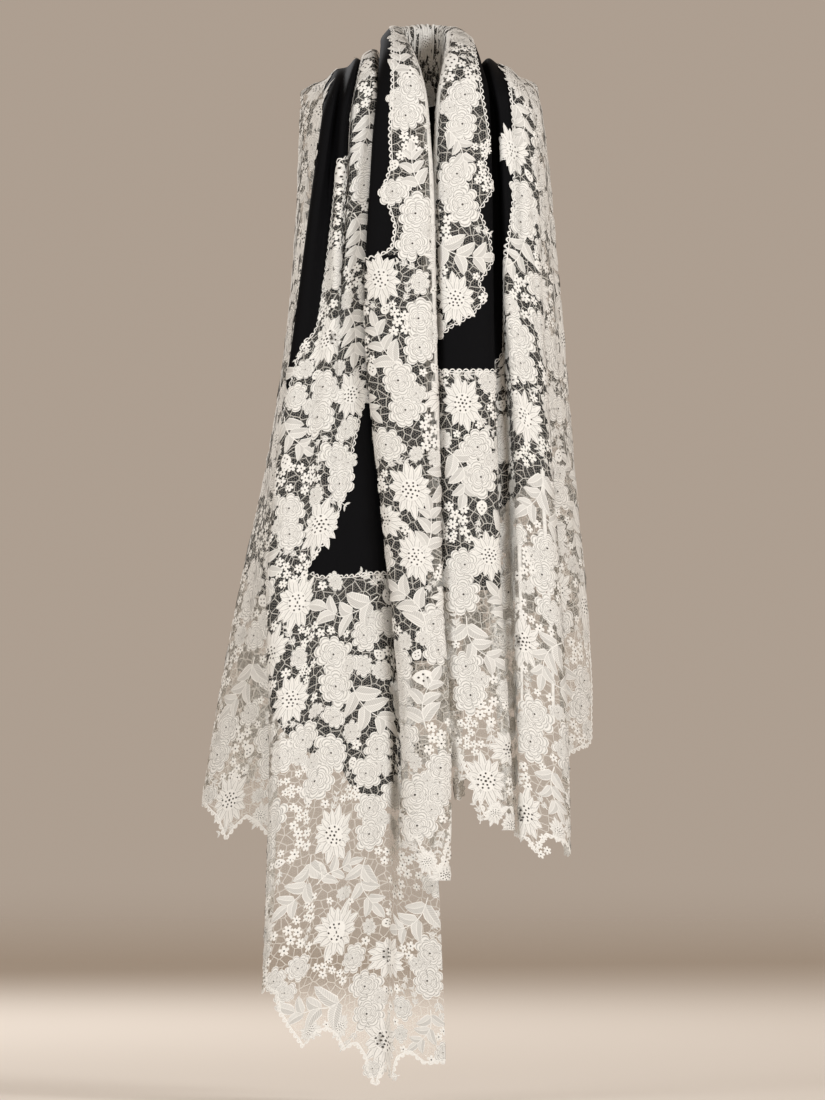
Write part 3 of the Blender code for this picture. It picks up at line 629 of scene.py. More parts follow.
def disc(out, at, radius, h, finish="plain", points=12, dome=0.0, squash=1.0, turn=0.0):
    angle = np.linspace(0, 2 * math.pi, points, endpoint=False)
    ring = np.stack([radius * np.cos(angle), radius * squash * np.sin(angle)], -1)
    xy = moved(np.concatenate([[[0, 0]], ring]), at, turn)
    lift = np.concatenate([[h + dome], np.full(points, h)])
    k = np.arange(points)
    faces = np.stack([np.zeros(points, int), 1 + k, 1 + (k + 1) % points, 1 + (k + 1) % points], -1)
    st = np.concatenate([[[0.5, 0.0]], np.stack([0.5 + 0 * angle, 1 + 0 * angle], -1)])
    out.add(xy, lift, st, faces, finish)


# Eyelet holes are not cut: each is a small dark disc, painted shadow where the hole would show the dark behind it.
def dot(out, at, radius, h):
    disc(out, at, radius, h, "dark", 6)


def stem(out, points, width, h, finish="plain"):
    """A thin raised cord along flat points."""
    p = np.asarray(points, float)
    d = np.gradient(p, axis=0)
    side = np.stack([-d[:, 1], d[:, 0]], -1) / np.maximum(np.linalg.norm(d, axis=1, keepdims=True), 1e-9)
    taper = np.linspace(1.0, 0.7, len(p))[:, None]
    w = width / 2 * taper
    xy = np.stack([p - side * w, p, p + side * w], 1).reshape(-1, 2)
    lift = np.tile([h * 0.7, h, h * 0.7], len(p))
    t = np.repeat(np.linspace(0, 1, len(p)), 3)
    out.add(xy, lift, np.stack([np.tile([0, 0.5, 1.0], len(p)), t], -1), grid_faces(len(p), 3), finish)


def tiny(out, at, turn, radius, rng):
    """A small five-petalled flower whose eye is a dark dot of painted shade."""
    petals = 5 if rng.random() < 0.75 else 6
    angle = np.linspace(0, 2 * math.pi, petals * 4, endpoint=False)
    beat = np.tile([1.0, 0.93, 0.50, 0.93], petals)
    ring = np.stack([radius * beat * np.cos(angle), radius * beat * np.sin(angle)], -1)
    inner = 0.42 * radius * np.stack([np.cos(angle), np.sin(angle)], -1)
    xy = moved(np.concatenate([inner, ring]), at, turn)
    n = len(angle)
    k = np.arange(n)
    faces = np.stack([k, n + k, n + (k + 1) % n, (k + 1) % n], -1)
    lift = np.concatenate([np.full(n, 0.00075), np.full(n, 0.00035)])
    st = np.concatenate([np.stack([0 * angle + 0.5, 0 * angle + 0.3], -1), np.stack([0 * angle + 0.5, 0 * angle + 0.95], -1)])
    out.add(xy, lift, st, faces, "plain")
    disc(out, at, 0.44 * radius, 0.0007, "plain", 8)
    dot(out, at, 0.17 * radius, 0.00085)


def daisy(out, at, turn, size, rng, petals=10):
    """An eyelet daisy: two rings of pointed petals round a centre whose eyelet holes are dark dots of painted shade."""
    long = 0.5 * size
    for ring, (reach, wide, h, shift) in enumerate(((1.0, 0.36, 0.0004, 0.0), (0.80, 0.34, 0.0008, 0.5))):
        for k in range(petals):
            a = turn + (k + shift + rng.uniform(-0.12, 0.12)) * 2 * math.pi / petals
            stretch = 1 + 0.22 * math.cos(2 * (a - turn))
            l = long * reach * stretch * rng.uniform(0.92, 1.05)
            root = (at[0] + 0.10 * size * math.cos(a), at[1] + 0.10 * size * math.sin(a))
            petal(out, root, a, l - 0.10 * size, wide * long, h, blunt=0.35)
    disc(out, at, 0.22 * size, 0.0011, "plain", 16, 0.0003, 0.86, turn)
    count = 0
    for ring, radius in ((1, 0.0), (6, 0.085), (9, 0.16)):
        for k in range(ring):
            a = turn + 2 * math.pi * (k + 0.3 * ring) / ring
            dot(
                out,
                (at[0] + radius * size * math.cos(a) * rng.uniform(0.9, 1.1), at[1] + radius * size * math.sin(a) * rng.uniform(0.86, 1.06)),
                (0.021 if ring > 1 else 0.027) * size, 0.00145,
            )
            count += 1


def ruffled(out, at, turn, size, rng, lobes=7):
    """A full round flower: a ruffled outer ring, an inner ring and a curled heart."""
    for count, reach, h, shift in ((lobes + 2, 0.5, 0.0004, 0.0), (lobes, 0.37, 0.0008, 0.4), (5, 0.24, 0.0012, 0.2)):
        for k in range(count):
            a = turn + (k + shift + rng.uniform(-0.15, 0.15)) * 2 * math.pi / count
            stretch = 1 + 0.12 * math.cos(2 * (a - turn))
            lobe(out, at, a, size * reach * stretch * rng.uniform(0.9, 1.06), 1.18 * math.pi / count, h)
    disc(out, at, 0.085 * size, 0.0016, "lobe", 10, 0.0003)
    # A dark dot of painted shade in the curled heart.
    dot(out, (at[0] + 0.03 * size, at[1]), 0.028 * size, 0.0021)


def double(out, at, turn, size, rng):
    """Two ruffled flowers, one behind the other, with a small third."""
    d = (math.cos(turn), math.sin(turn))
    e = (-d[1], d[0])
    ruffled(out, (at[0] + 0.33 * size * d[0], at[1] + 0.33 * size * d[1]), turn, 0.86 * size, rng)
    ruffled(out, (at[0] - 0.31 * size * d[0], at[1] - 0.31 * size * d[1]), turn + 1.0, 0.80 * size, rng)
    side = 0.30 * size * (1 if rng.random() < 0.5 else -1)
    ruffled(out, (at[0] + side * e[0], at[1] + side * e[1]), turn + 2.0, 0.46 * size, rng, 5)


def curve(at, turn, length, bow, count=9):
    t = np.linspace(0, 1, count)
    line = np.stack([length * t, bow * length * np.sin(math.pi * t)], -1)
    return moved(line, at, turn)


def spray(out, at, turn, size, rng, pairs=3):
    """A curved stem with plump leaves in pairs and one at its tip; 'at' is its middle."""
    bow = rng.uniform(0.08, 0.2) * (1 if rng.random() < 0.5 else -1)
    root = (at[0] - 0.5 * size * math.cos(turn), at[1] - 0.5 * size * math.sin(turn))
    line = curve(root, turn, size * 0.92, bow)
    stem(out, line, 0.0016, 0.0010)
    for k in range(pairs):
        t = 0.16 + 0.68 * k / max(pairs - 1, 1)
        i = t * (len(line) - 1)
        a = int(i)
        p = line[a] + (line[min(a + 1, len(line) - 1)] - line[a]) * (i - a)
        d = line[min(a + 1, len(line) - 1)] - line[a]
        along_stem = math.atan2(d[1], d[0])
        for side in (-1, 1):
            lean = along_stem + side * (1.0 - 0.22 * k / pairs + rng.uniform(-0.12, 0.12))
            reach = size * (0.46 - 0.05 * k) * rng.uniform(0.88, 1.08)
            petal(out, p, lean, reach, reach * 0.54, 0.0010, "leaf", 0.95, side * -0.10)
    d = line[-1] - line[-2]
    petal(out, line[-1], math.atan2(d[1], d[0]), size * 0.36, size * 0.19, 0.0010, "leaf", 0.8)


def fern(out, at, turn, size, rng, pairs=5):
    """A stem with small narrow leaflets."""
    root = (at[0] - 0.5 * size * math.cos(turn), at[1] - 0.5 * size * math.sin(turn))
    line = curve(root, turn, size, rng.uniform(-0.18, 0.18))
    stem(out, line, 0.0012, 0.0008)
    for k in range(pairs):
        a = 1 + int(k * (len(line) - 3) / max(pairs - 1, 1))
        d = line[a + 1] - line[a]
        lean = math.atan2(d[1], d[0])
        for side in (-1, 1):
            petal(out, line[a], lean + side * 0.75, size * 0.25, size * 0.095, 0.0006, "leaf", 0.6)


def bud(out, at, turn, size, rng):
    """A drop: a broad leaf with a few holes shown as dark dots of painted shade."""
    root = (at[0] - 0.5 * size * math.cos(turn), at[1] - 0.5 * size * math.sin(turn))
    petal(out, root, turn, size, size * 0.72, 0.0009, "plain", 0.75)
    for x, y in ((0.30, 0.0), (0.50, 0.15), (0.50, -0.15), (0.70, 0.0)):
        p = moved(np.array([[x * size, y * size]]), root, turn)[0]
        dot(out, p, 0.052 * size, 0.0013)


def cluster(out, at, turn, size, rng, count=5):
    """Small flowers in a bunch on short stems."""
    for k in range(count):
        a = turn + 2 * math.pi * k / count + rng.uniform(-0.3, 0.3)
        d = size * 0.34 * rng.uniform(0.85, 1.1)
        if k == 0 and count > 4:
            d = 0
        p = (at[0] + d * math.cos(a), at[1] + d * math.sin(a))
        tiny(out, p, rng.uniform(0, 6.3), size * 0.17, rng)


# How much cloth each motif takes: circles (x, y, radius) for a motif of size 1 that
# points along x.
FOOTPRINT = {
    "daisy": ((0, 0, 0.47),),
    "double": ((0.33, 0, 0.42), (-0.31, 0, 0.39), (0, 0, 0.40)),
    "ruffled": ((0, 0, 0.48),),
    "spray": ((-0.34, 0, 0.20), (-0.12, 0, 0.34), (0.14, 0, 0.34), (0.40, 0, 0.24), (0.62, 0, 0.12)),
    "fern": ((-0.35, 0, 0.10), (-0.1, 0, 0.15), (0.15, 0, 0.15), (0.4, 0, 0.10)),
    "bud": ((0, 0, 0.40),),
    "cluster": ((0, 0, 0.44),),
    "tiny": ((0, 0, 0.95),),
}
DRAW = {"daisy": daisy, "double": double, "ruffled": ruffled, "spray": spray, "fern": fern, "bud": bud, "cluster": cluster, "tiny": tiny}


def scallops(line, width, depth):
    """A flat line redrawn as a row of small rounded scallops, dipping along its left side."""
    run = np.concatenate([[0], np.cumsum(np.linalg.norm(np.diff(line, axis=0), axis=1))])
    count = max(2, int(round(run[-1] / width)))
    at = np.linspace(0, run[-1], count * 7 + 1)
    p = np.stack([np.interp(at, run, line[:, k]) for k in (0, 1)], -1)
    d = np.gradient(p, axis=0)
    side = np.stack([-d[:, 1], d[:, 0]], -1) / np.maximum(np.linalg.norm(d, axis=1, keepdims=True), 1e-9)
    return p + side * (depth * np.abs(np.sin(math.pi * count * at / run[-1])))[:, None]


class Layout:
    """Motifs set out on a piece's flat cloth so that they don't lie on each other."""

    CELL = 0.0016

    def __init__(self, flat, inside, seed):
        self.flat, self.inside, self.rng = flat, inside, np.random.default_rng(seed)
        self.out = Drawing()
        self.lo = np.array([flat.u[0], flat.v[0]]) - 0.04
        top = np.array([flat.u[-1], flat.v[-1]]) + 0.08
        self.taken = np.zeros(np.ceil((top - self.lo) / self.CELL).astype(int), bool)

    def circles(self, kind, at, turn, size):
        c = np.array(FOOTPRINT[kind])
        return np.concatenate([moved(c[:, :2], at, turn, size), c[:, 2:] * size], axis=1)

    def cells(self, circle, grow=0.0):
        x, y, rad = circle
        rad = rad + grow
        lo = np.maximum(np.floor((np.array([x - rad, y - rad]) - self.lo) / self.CELL).astype(int), 0)
        hi = np.minimum(np.ceil((np.array([x + rad, y + rad]) - self.lo) / self.CELL).astype(int) + 1, self.taken.shape)
        if (hi <= lo).any():
            return None
        gx = self.lo[0] + (np.arange(lo[0], hi[0]) + 0.5) * self.CELL
        gy = self.lo[1] + (np.arange(lo[1], hi[1]) + 0.5) * self.CELL
        return (slice(lo[0], hi[0]), slice(lo[1], hi[1])), (gx[:, None] - x) ** 2 + (gy[None, :] - y) ** 2 < rad * rad

    def free(self, kind, at, turn, size, gap, share):
        for c in self.circles(kind, at, turn, size):
            found = self.cells(c, gap)
            if found is None or (self.taken[found[0]] & found[1]).sum() > share * found[1].sum():
                return False
        return True

    def put(self, kind, at, turn, size):
        for c in self.circles(kind, at, turn, size):
            found = self.cells(c)
            if found is not None:
                self.taken[found[0]] |= found[1]
        start = len(self.out.h)
        DRAW[kind](self.out, at, turn, size, self.rng)
        nudge = self.rng.uniform(0, 0.00025)
        for k in range(start, len(self.out.h)):
            self.out.h[k] = self.out.h[k] + nudge

    def pin(self, kind, x, level, turn, size):
        """A motif at a place of the drawing, on whichever fold shows there."""
        s, r = self.flat.cloth.find(x, level, self.inside.low, self.inside.high)
        self.put(kind, self.flat.uv(np.array(s), np.array(r)), turn, size)

    def cord(self, s, r, width=0.0, depth=0.0, thick=0.0016, h=0.0012, finish="plain"):
        """A raised cord along a line of the cloth, plain or scalloped."""
        line = self.flat.uv(np.asarray(s, float), np.asarray(r, float))
        stem(self.out, scallops(line, width, depth) if width else line, thick, h, finish)

    def inner(self, kind, s, r, turn, size):
        """A motif at a place of the cloth itself, where it doesn't show from the front."""
        at = self.flat.uv(np.array(float(s)), np.array(float(r)))
        if self.free(kind, at, turn, size, 0.0, 0.1):
            self.put(kind, at, turn, size)

    def edge(self, s, r, kinds, gap=0.0, inward=0.0, share=0.12, step=0.003):
        """A row of motifs along a line of the cloth."""
        line = self.flat.uv(s, r)
        run = np.concatenate([[0], np.cumsum(np.linalg.norm(np.diff(line, axis=0), axis=1))])
        at = 0.0
        while at < run[-1]:
            p = np.array([np.interp(at, run, line[:, k]) for k in (0, 1)])
            q = np.array([np.interp(at + 0.004, run, line[:, k]) for k in (0, 1)])
            d = q - p
            length = max(np.linalg.norm(d), 1e-9)
            side = np.array([-d[1], d[0]]) / length * inward
            heading = math.atan2(d[1], d[0])
            for _ in range(5):
                kind, low, high, lean = kinds[self.rng.integers(len(kinds))]
                size = self.rng.uniform(low, high)
                turn = heading + (lean if lean is not None else self.rng.uniform(0, 6.3)) + self.rng.uniform(-0.25, 0.25)
                if self.free(kind, p + side, turn, size, gap, share):
                    self.put(kind, p + side, turn, size)
                    at += 0.45 * size
                    break
            at += step

    def fill(self, kind, low, high, tries, gap, share=0.03, most=9999, margin=0.3):
        """As many of one motif as find room."""
        span = np.array([self.flat.u[-1], self.flat.v[-1]]) - self.lo
        at = self.lo + self.rng.random((tries, 2)) * span
        turn = self.rng.uniform(0, 2 * math.pi, tries)
        size = self.rng.uniform(low, high, tries)
        reach = max(c[2] for c in FOOTPRINT[kind]) * margin
        ok = self.inside(self.flat, at, reach * size.mean())
        done = 0
        for k in np.flatnonzero(ok):
            if self.free(kind, at[k], turn[k], size[k], gap, share):
                self.put(kind, at[k], turn[k], size[k])
                done += 1
                if done >= most:
                    break
        return done


# ---------------------------------------------------------------- the two cloths
CREASES = (
    # Soft troughs (-) and ridges (+) of the cape: from (line, level) to (line, level), bend
    # in lines, depth in mm, width in mm.
    # line and level      line and level     bend   depth  width
    (3.4,  70,            3.7,  300,         0.2,   -2.2,  5),
    (5.4,  64,            5.2,  330,         -0.2,  1.8,   7),
    (6.5,  72,            6.7,  420,         0.2,   -2.0,  8),
    (7.4,  78,            7.2,  300,         0.1,   1.6,   6),
    (2.4,  90,            2.3,  420,         0.15,  -1.6,  5),
    (4.6,  300,           4.3,  700,         -0.2,  1.9,   9),
    (6.4,  480,           6.8,  900,         0.2,   -1.8,  9),
    (3.6,  620,           3.4,  1040,        0.15,  -2.4,  7),
    (2.2,  680,           2.6,  1060,        -0.1,  2.2,   8),
    (1.3,  760,           1.5,  1050,        0.1,   -2.0,  7),
    (7.3,  640,           7.5,  980,         -0.15, 2.0,   5),
    (7.8,  600,           7.8,  990,         0.05,  -1.6,  3),
    (5.5,  720,           5.7,  1020,        0.1,   1.7,   8),
    (0.6,  820,           0.5,  1050,        0.1,   1.8,   7),
    (10.4, 110,           10.7, 430,         0.15,  -2.4,  6),
    (11.3, 100,           11.2, 500,         -0.15, 2.2,   7),
    (10.6, 380,           10.3, 800,         0.15,  2.0,   8),
    (11.5, 480,           11.7, 780,         0.1,   -2.0,  9),
    (12.6, 140,           12.4, 620,         0.2,   1.8,   8),
    (13.6, 260,           13.9, 780,         -0.1,  -2.0,  9),
    (16.5, 110,           16.9, 420,         0.2,   -2.2,  9),
    (18.5, 90,            18.2, 360,         -0.2,  2.0,   8),
    (20.4, 100,           20.9, 520,         0.3,   -1.8,  10),
    (22.6, 110,           22.3, 400,         0.1,   1.8,   8),
    (24.5, 130,           24.9, 480,         -0.2,  -2.0,  9),
    (26.5, 150,           26.2, 560,         0.2,   1.6,   10),
    (28.4, 140,           28.8, 430,         -0.1,  -1.6,  9),
    (30.3, 160,           30.0, 590,         0.2,   1.8,   10),
    (32.5, 120,           32.9, 450,         0.1,   -2.0,  9),
    (35.4, 100,           35.1, 400,         -0.2,  2.1,   8),
    (37.5, 100,           37.8, 520,         0.1,   -2.0,  9),
    (19.6, 440,           19.2, 740,         0.1,   1.5,   12),
    (27.4, 470,           27.7, 720,         -0.2,  -1.5,  12),
    (34.5, 420,           34.2, 690,         0.2,   1.6,   11),
    (39.5, 120,           39.7, 560,         0.1,   1.9,   8),
    (41.6, 120,           41.5, 420,         0.1,   -2.2,  7),
    (42.6, 300,           42.4, 700,         -0.1,  2.0,   6),
    (41.4, 430,           41.5, 640,         0.1,   1.8,   7),
    (45.5, 90,            45.6, 420,         0.1,   -1.8,  5),
    (46.5, 84,            46.4, 330,         -0.1,  1.8,   6),
    (47.5, 74,            47.4, 260,         0.1,   -1.8,  4),
    (46.4, 420,           46.6, 800,         0.1,   -1.7,  7),
    (47.6, 480,           47.5, 830,         0.1,   1.6,   6),
    (48.4, 520,           48.5, 810,         0.05,  -1.6,  4),
)
ROLL_CREASES = (
    # The same on the roll: (place across, section), (place across, section), bend, depth, width
    (2.5,  0.5,           2.6,  8.0,         0.1,   -2.2,  4),
    (2.3,  5.0,           2.4,  12.0,        0.05,  -2.0,  3),
    (5.2,  1.0,           5.0,  7.5,         0.2,   1.6,   7),
    (3.4,  0.0,           3.7,  5.5,         -0.2,  -1.6,  7),
    (4.6,  6.0,           4.3,  13.0,        0.2,   -1.5,  8),
    (5.6,  8.0,           5.5,  15.0,        0.1,   1.6,   6),
    (3.0,  12.0,          3.2,  17.0,        0.1,   1.4,   5),
    (2.4,  15.0,          2.5,  22.0,        0.1,   -1.4,  4),
    (4.5,  16.0,          4.3,  21.5,        0.2,   -1.5,  6),
    (5.7,  17.5,          5.6,  24.0,        0.1,   1.6,   6),
    (3.3,  20.0,          3.2,  26.5,        -0.1,  -1.3,  5),
    (2.4,  26.0,          2.3,  34.0,        0.05,  -2.0,  3),
    (4.8,  25.0,          4.5,  31.0,        0.2,   -1.5,  7),
    (5.4,  31.0,          5.5,  38.0,        0.1,   1.6,   6),
    (3.4,  32.0,          3.2,  38.0,        0.1,   -1.7,  6),
)
# The hem in front and at the sides: (fold line, level), down to each point and up between.
HEM_FINE = (
    (0, 1059), (0.35, 1062), (0.6, 1050), (0.9, 1057), (1.2, 1078), (1.5, 1062), (2.0, 1068), (2.2, 1085), (2.5, 1054),
    (2.75, 1042), (3.0, 1043), (3.3, 1048), (3.8, 1034), (4.4, 1027), (5.0, 1030), (5.8, 1045), (6.5, 1028), (7.0, 1011),
    (7.15, 992), (7.6, 985), (8.0, 994), (8.3, 962), (9.0, 868), (9.5, 837), (10.0, 823), (10.45, 815), (10.8, 826),
    (11.05, 838), (11.3, 817), (11.8, 801), (12.0, 787), (12.6, 790), (13.0, 801), (14.0, 790),
)
HEM_FINE_RIGHT = (
    (40.2, 616), (41.0, 610), (41.25, 622), (41.4, 640), (41.55, 686), (41.8, 708), (42.0, 738), (42.3, 744), (43.0, 747),
    (43.5, 753), (44.0, 766), (44.4, 800), (44.8, 846), (45.0, 852), (45.5, 840), (46.0, 837), (46.6, 833), (47.0, 842),
    (47.25, 850), (47.6, 838), (48.0, 836), (49.0, 833), (49.5, 820), (49.8, 806), (50.0, 800),
)

cape, roll = Cape(), Roll()


def cape_creases():
    for s0, v0, s1, v1, bend, depth, width in CREASES:
        yield s0, float(cape.row(s0, v0)), s1, float(cape.row(s1, v1)), bend, depth, width


def find(self, x, level, low, high):
    """(s, r) of the foremost place of the cloth at a point of the drawing."""
    keep = (self.s >= low) & (self.s <= high)
    p = self.p[:, keep]
    miss = np.hypot(p[..., 0] - (x - MID) * UNIT, p[..., 2] - (CARRY - level) * UNIT)
    score = miss + 0.15 * (p[..., 1] + 0.2)
    i, j = np.unravel_index(np.argmin(score), score.shape)
    return self.s[keep][j], self.r[i]


Map.find = find
cape_rows = np.concatenate([np.linspace(0, 1.15, 24), np.linspace(1.2, 15.4, 150)])
cape_map = Map(cape.at, 1.0, np.linspace(0, 50, 401), cape_rows, cape_creases(), None)
roll_map = Map(roll.at, -1.0, np.linspace(0, 7, 71), np.linspace(0, roll.count - 1, 229), ROLL_CREASES, None)


def hem_level(s):
    s = np.asarray(s, float)
    left = np.interp(s, *zip(*HEM_FINE))
    right = np.interp(s, *zip(*HEM_FINE_RIGHT))
    found = cape.hem(s)
    found = np.where(s < 14, left, found)
    return np.where(s > 40.2, right, found)


class Stretch:
    """A piece's outline on a map: s between low and high, r between start and end."""

    def __init__(self, low, high, start, end):
        self.low, self.high, self.start, self.end = low, high, start, end

    def __call__(self, flat, uv, margin):
        s, r = flat.sr(uv)
        first = flat.uv(s, self.start(s))[:, 1] + margin
        last = flat.uv(s, self.end(s))[:, 1] - margin
        left = flat.uv(np.full_like(r, self.low), r)[:, 0] + margin
        right = flat.uv(np.full_like(r, self.high), r)[:, 0] - margin
        return (uv[:, 0] > left) & (uv[:, 0] < right) & (uv[:, 1] > first) & (uv[:, 1] < last)


class Band(Stretch):
    """A piece of the roll: section q between start and end, s between low(q) and high(q)."""

    def __init__(self, first, last, low, high):
        super().__init__(0, 7, lambda s: np.full_like(np.asarray(s, float), first), lambda s: np.full_like(np.asarray(s, float), last))
        self.first, self.last, self.low_at, self.high_at = first, last, low, high

    def __call__(self, flat, uv, margin):
        s, q = flat.sr(uv)
        v0, v1 = (flat.uv(s, np.full_like(s, k))[:, 1] for k in (self.first, self.last))
        u0 = flat.uv(self.low_at(q), q)[:, 0] + margin
        u1 = flat.uv(self.high_at(q), q)[:, 0] - margin
        return (uv[:, 0] > u0) & (uv[:, 0] < u1) & (uv[:, 1] > v0 + margin) & (uv[:, 1] < v1 - margin)


def mesh_piece(name, points, faces, coords, finishes, order, smooth=True):
    mesh = bpy.data.meshes.new(name)
    faces = np.asarray(faces)
    three = faces[:, 2] == faces[:, 3]
    loops = np.where(three, 3, 4)
    flat_index = np.concatenate([f[:n] for f, n in zip(faces, loops)]) if three.any() else faces.reshape(-1)
    mesh.vertices.add(len(points))
    mesh.vertices.foreach_set("co", np.asarray(points, np.float32).ravel())
    mesh.loops.add(len(flat_index))
    mesh.loops.foreach_set("vertex_index", flat_index.astype(np.int32))
    mesh.polygons.add(len(faces))
    mesh.polygons.foreach_set("loop_start", np.concatenate([[0], np.cumsum(loops)[:-1]]).astype(np.int32))
    layer = mesh.uv_layers.new(name="UVMap")
    layer.data.foreach_set("uv", np.asarray(coords, np.float32)[flat_index].ravel())
    for m in finishes:
        mesh.materials.append(m)
    if order is not None:
        mesh.polygons.foreach_set("material_index", np.asarray(order, np.int32))
    mesh.update(calc_edges=True)
    mesh.validate()
    if smooth:
        mesh.shade_smooth()
    piece = bpy.data.objects.new(name, mesh)
    bpy.context.scene.collection.objects.link(piece)
    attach(piece, "root")
    return piece


def cut_of(uv, points):
    """Width, length and area of the flat cut, laid square in its tightest box."""
    across, down = np.diff(points, axis=1), np.diff(points, axis=0)
    area = np.linalg.norm(np.cross(across[:-1], down[:, :-1]), axis=-1).sum() / 2
    area += np.linalg.norm(np.cross(across[1:], down[:, 1:]), axis=-1).sum() / 2
    best = None
    for turn in np.radians(np.arange(-44, 45, 2)):
        c, s = math.cos(turn), math.sin(turn)
        u = uv[..., 0] * c - uv[..., 1] * s
        v = uv[..., 0] * s + uv[..., 1] * c
        size = [float(np.ptp(u)), float(np.ptp(v))]
        if best is None or size[0] * size[1] < best[0] * best[1]:
            best = size
    return best + [float(area)]


def cloth_piece(name, flat, s, r, lift, finish, outside=1.0, thick=0.0):
    """A smooth sheet through a grid of (s, r)."""
    points = flat.cloth.point(s, r, np.full(s.shape, lift))
    uv = flat.uv(s, r)
    faces = grid_faces(*s.shape)
    if outside < 0:
        faces = faces[:, ::-1]
    piece = mesh_piece(name, points.reshape(-1, 3), faces, uv.reshape(-1, 2), [finish], None)
    if thick:
        m = piece.modifiers.new("cloth", "SOLIDIFY")
        m.thickness, m.offset = thick, 0.0
    piece["cut"] = cut_of(uv, points)
    return piece


def cape_grid(low, high, start, end, per_line=6, rows=110, wave=0.0, flat=None, wave_top=0.0):
    s = np.linspace(low, high, int(round((high - low) * per_line)) + 1)
    a, b = start(s), end(s)
    if wave or wave_top:
        u = flat.uv(s, b)[:, 0]
        per_row = np.gradient(flat.v, flat.cloth.r)
        rate = np.interp(b, flat.cloth.r, per_row)
        b = b - wave * (0.5 + 0.5 * np.cos(2 * math.pi * u / 0.0125)) / rate
        a = a + wave_top * np.abs(np.sin(math.pi * flat.uv(s, a)[:, 0] / 0.021)) / np.interp(a, flat.cloth.r, per_row)
    t = np.linspace(0, 1, rows)[:, None]
    return np.repeat(s[None, :], rows, 0), a[None, :] + (b - a)[None, :] * t


def roll_grid(first, last, low, high, across=36, per_section=6):
    q = np.linspace(first, last, int((last - first) * per_section) + 1)[:, None]
    t = np.linspace(0, 1, across)[None, :]
    a, b = low(q), high(q)
    return a + (b - a) * t, np.repeat(q, across, 1)


def flowers(name, layout, lift, outside=1.0):
    """The laid-out motifs as one mesh on the worn cloth."""
    d = layout.out
    xy, h, st = np.concatenate(d.xy), np.concatenate(d.h), np.concatenate(d.st)
    faces, finish = np.concatenate(d.faces), np.concatenate(d.finish)
    if outside < 0:
        faces = faces[:, ::-1].copy()
        tri = faces[:, 0] == faces[:, 1]
        faces[tri] = faces[tri][:, [1, 2, 3, 3]]
    points = layout.flat.place(xy, lift + h)
    return mesh_piece(name, points, faces, st, [FINISH[f] for f in FINISHES], finish)


# ---------------------------------------------------------------- finishes
class Nodes:
    """Small helper that chains math on a material's node tree."""

    def __init__(self, name, colour, roughness):
        self.material = bpy.data.materials.new(name)
        self.material.use_nodes = True
        self.tree = self.material.node_tree
        self.shader = self.tree.nodes["Principled BSDF"]
        self.shader.inputs["Base Color"].default_value = colour
        self.shader.inputs["Roughness"].default_value = roughness
        self.shader.inputs["Specular IOR Level"].default_value = 0.25

    def new(self, kind, **settings):
        node = self.tree.nodes.new(kind)
        for key, value in settings.items():
            setattr(node, key, value)
        return node

    def link(self, source, target):
        self.tree.links.new(source, target)

    def math(self, operation, *values, clamp=False):
        node = self.new("ShaderNodeMath", operation=operation, use_clamp=clamp)
        for k, v in enumerate(values):
            if isinstance(v, (int, float)):
                node.inputs[k].default_value = v
            else:
                self.link(v, node.inputs[k])
        return node.outputs[0]

    def uv(self):
        node = self.new("ShaderNodeUVMap", uv_map="UVMap")
        split = self.new("ShaderNodeSeparateXYZ")
        self.link(node.outputs["UV"], split.inputs[0])
        return split.outputs[0], split.outputs[1]

    def line(self, value, at, width):
        """1 on the line, easing to 0 at its sides."""
        away = self.math("ABSOLUTE", self.math("SUBTRACT", value, at))
        return self.math("SUBTRACT", 1.0, self.math("DIVIDE", away, width, clamp=True), clamp=True)

    def colour(self, tone, dark, light):
        mix = self.new("ShaderNodeMix", data_type="RGBA")
        mix.inputs[6].default_value = dark
        mix.inputs[7].default_value = light
        self.link(tone, mix.inputs[0])
        self.link(mix.outputs[2], self.shader.inputs["Base Color"])

    def noise(self, scale, detail=2.0):
        place = self.new("ShaderNodeTexCoord")
        node = self.new("ShaderNodeTexNoise")
        node.inputs["Scale"].default_value = scale
        node.inputs["Detail"].default_value = detail
        self.link(place.outputs["Object"], node.inputs["Vector"])
        return node.outputs["Fac"]


THREAD = (0.80, 0.785, 0.745, 1.0)
SHADE = (0.135, 0.125, 0.112, 1.0)


def across(n, x):
    """0 on an element's middle line and 1 at its edges."""
    return n.math("ABSOLUTE", n.math("SUBTRACT", n.math("MULTIPLY", x, 2.0), 1.0))


def petal_finish():
    n = Nodes("lace_petal", THREAD, 0.75)
    x, y = n.uv()
    a = across(n, x)
    inner = n.line(a, 0.60, 0.16)
    vein = n.math("MULTIPLY", n.line(a, 0.0, 0.10), n.line(y, 0.35, 0.45))
    # The outline and the vein are the lace's own lines; the darkening at the root, under the centre, is painted shade.
    root = n.line(y, 0.0, 0.28)
    dark = n.math("ADD", n.math("MULTIPLY", inner, 0.58), n.math("MULTIPLY", vein, 0.40))
    dark = n.math("ADD", dark, n.math("MULTIPLY", root, 0.40))
    dark = n.math("ADD", dark, n.math("MULTIPLY", n.noise(420.0), 0.16))
    n.colour(n.math("SUBTRACT", 1.0, dark, clamp=True), SHADE, THREAD)
    return n.material


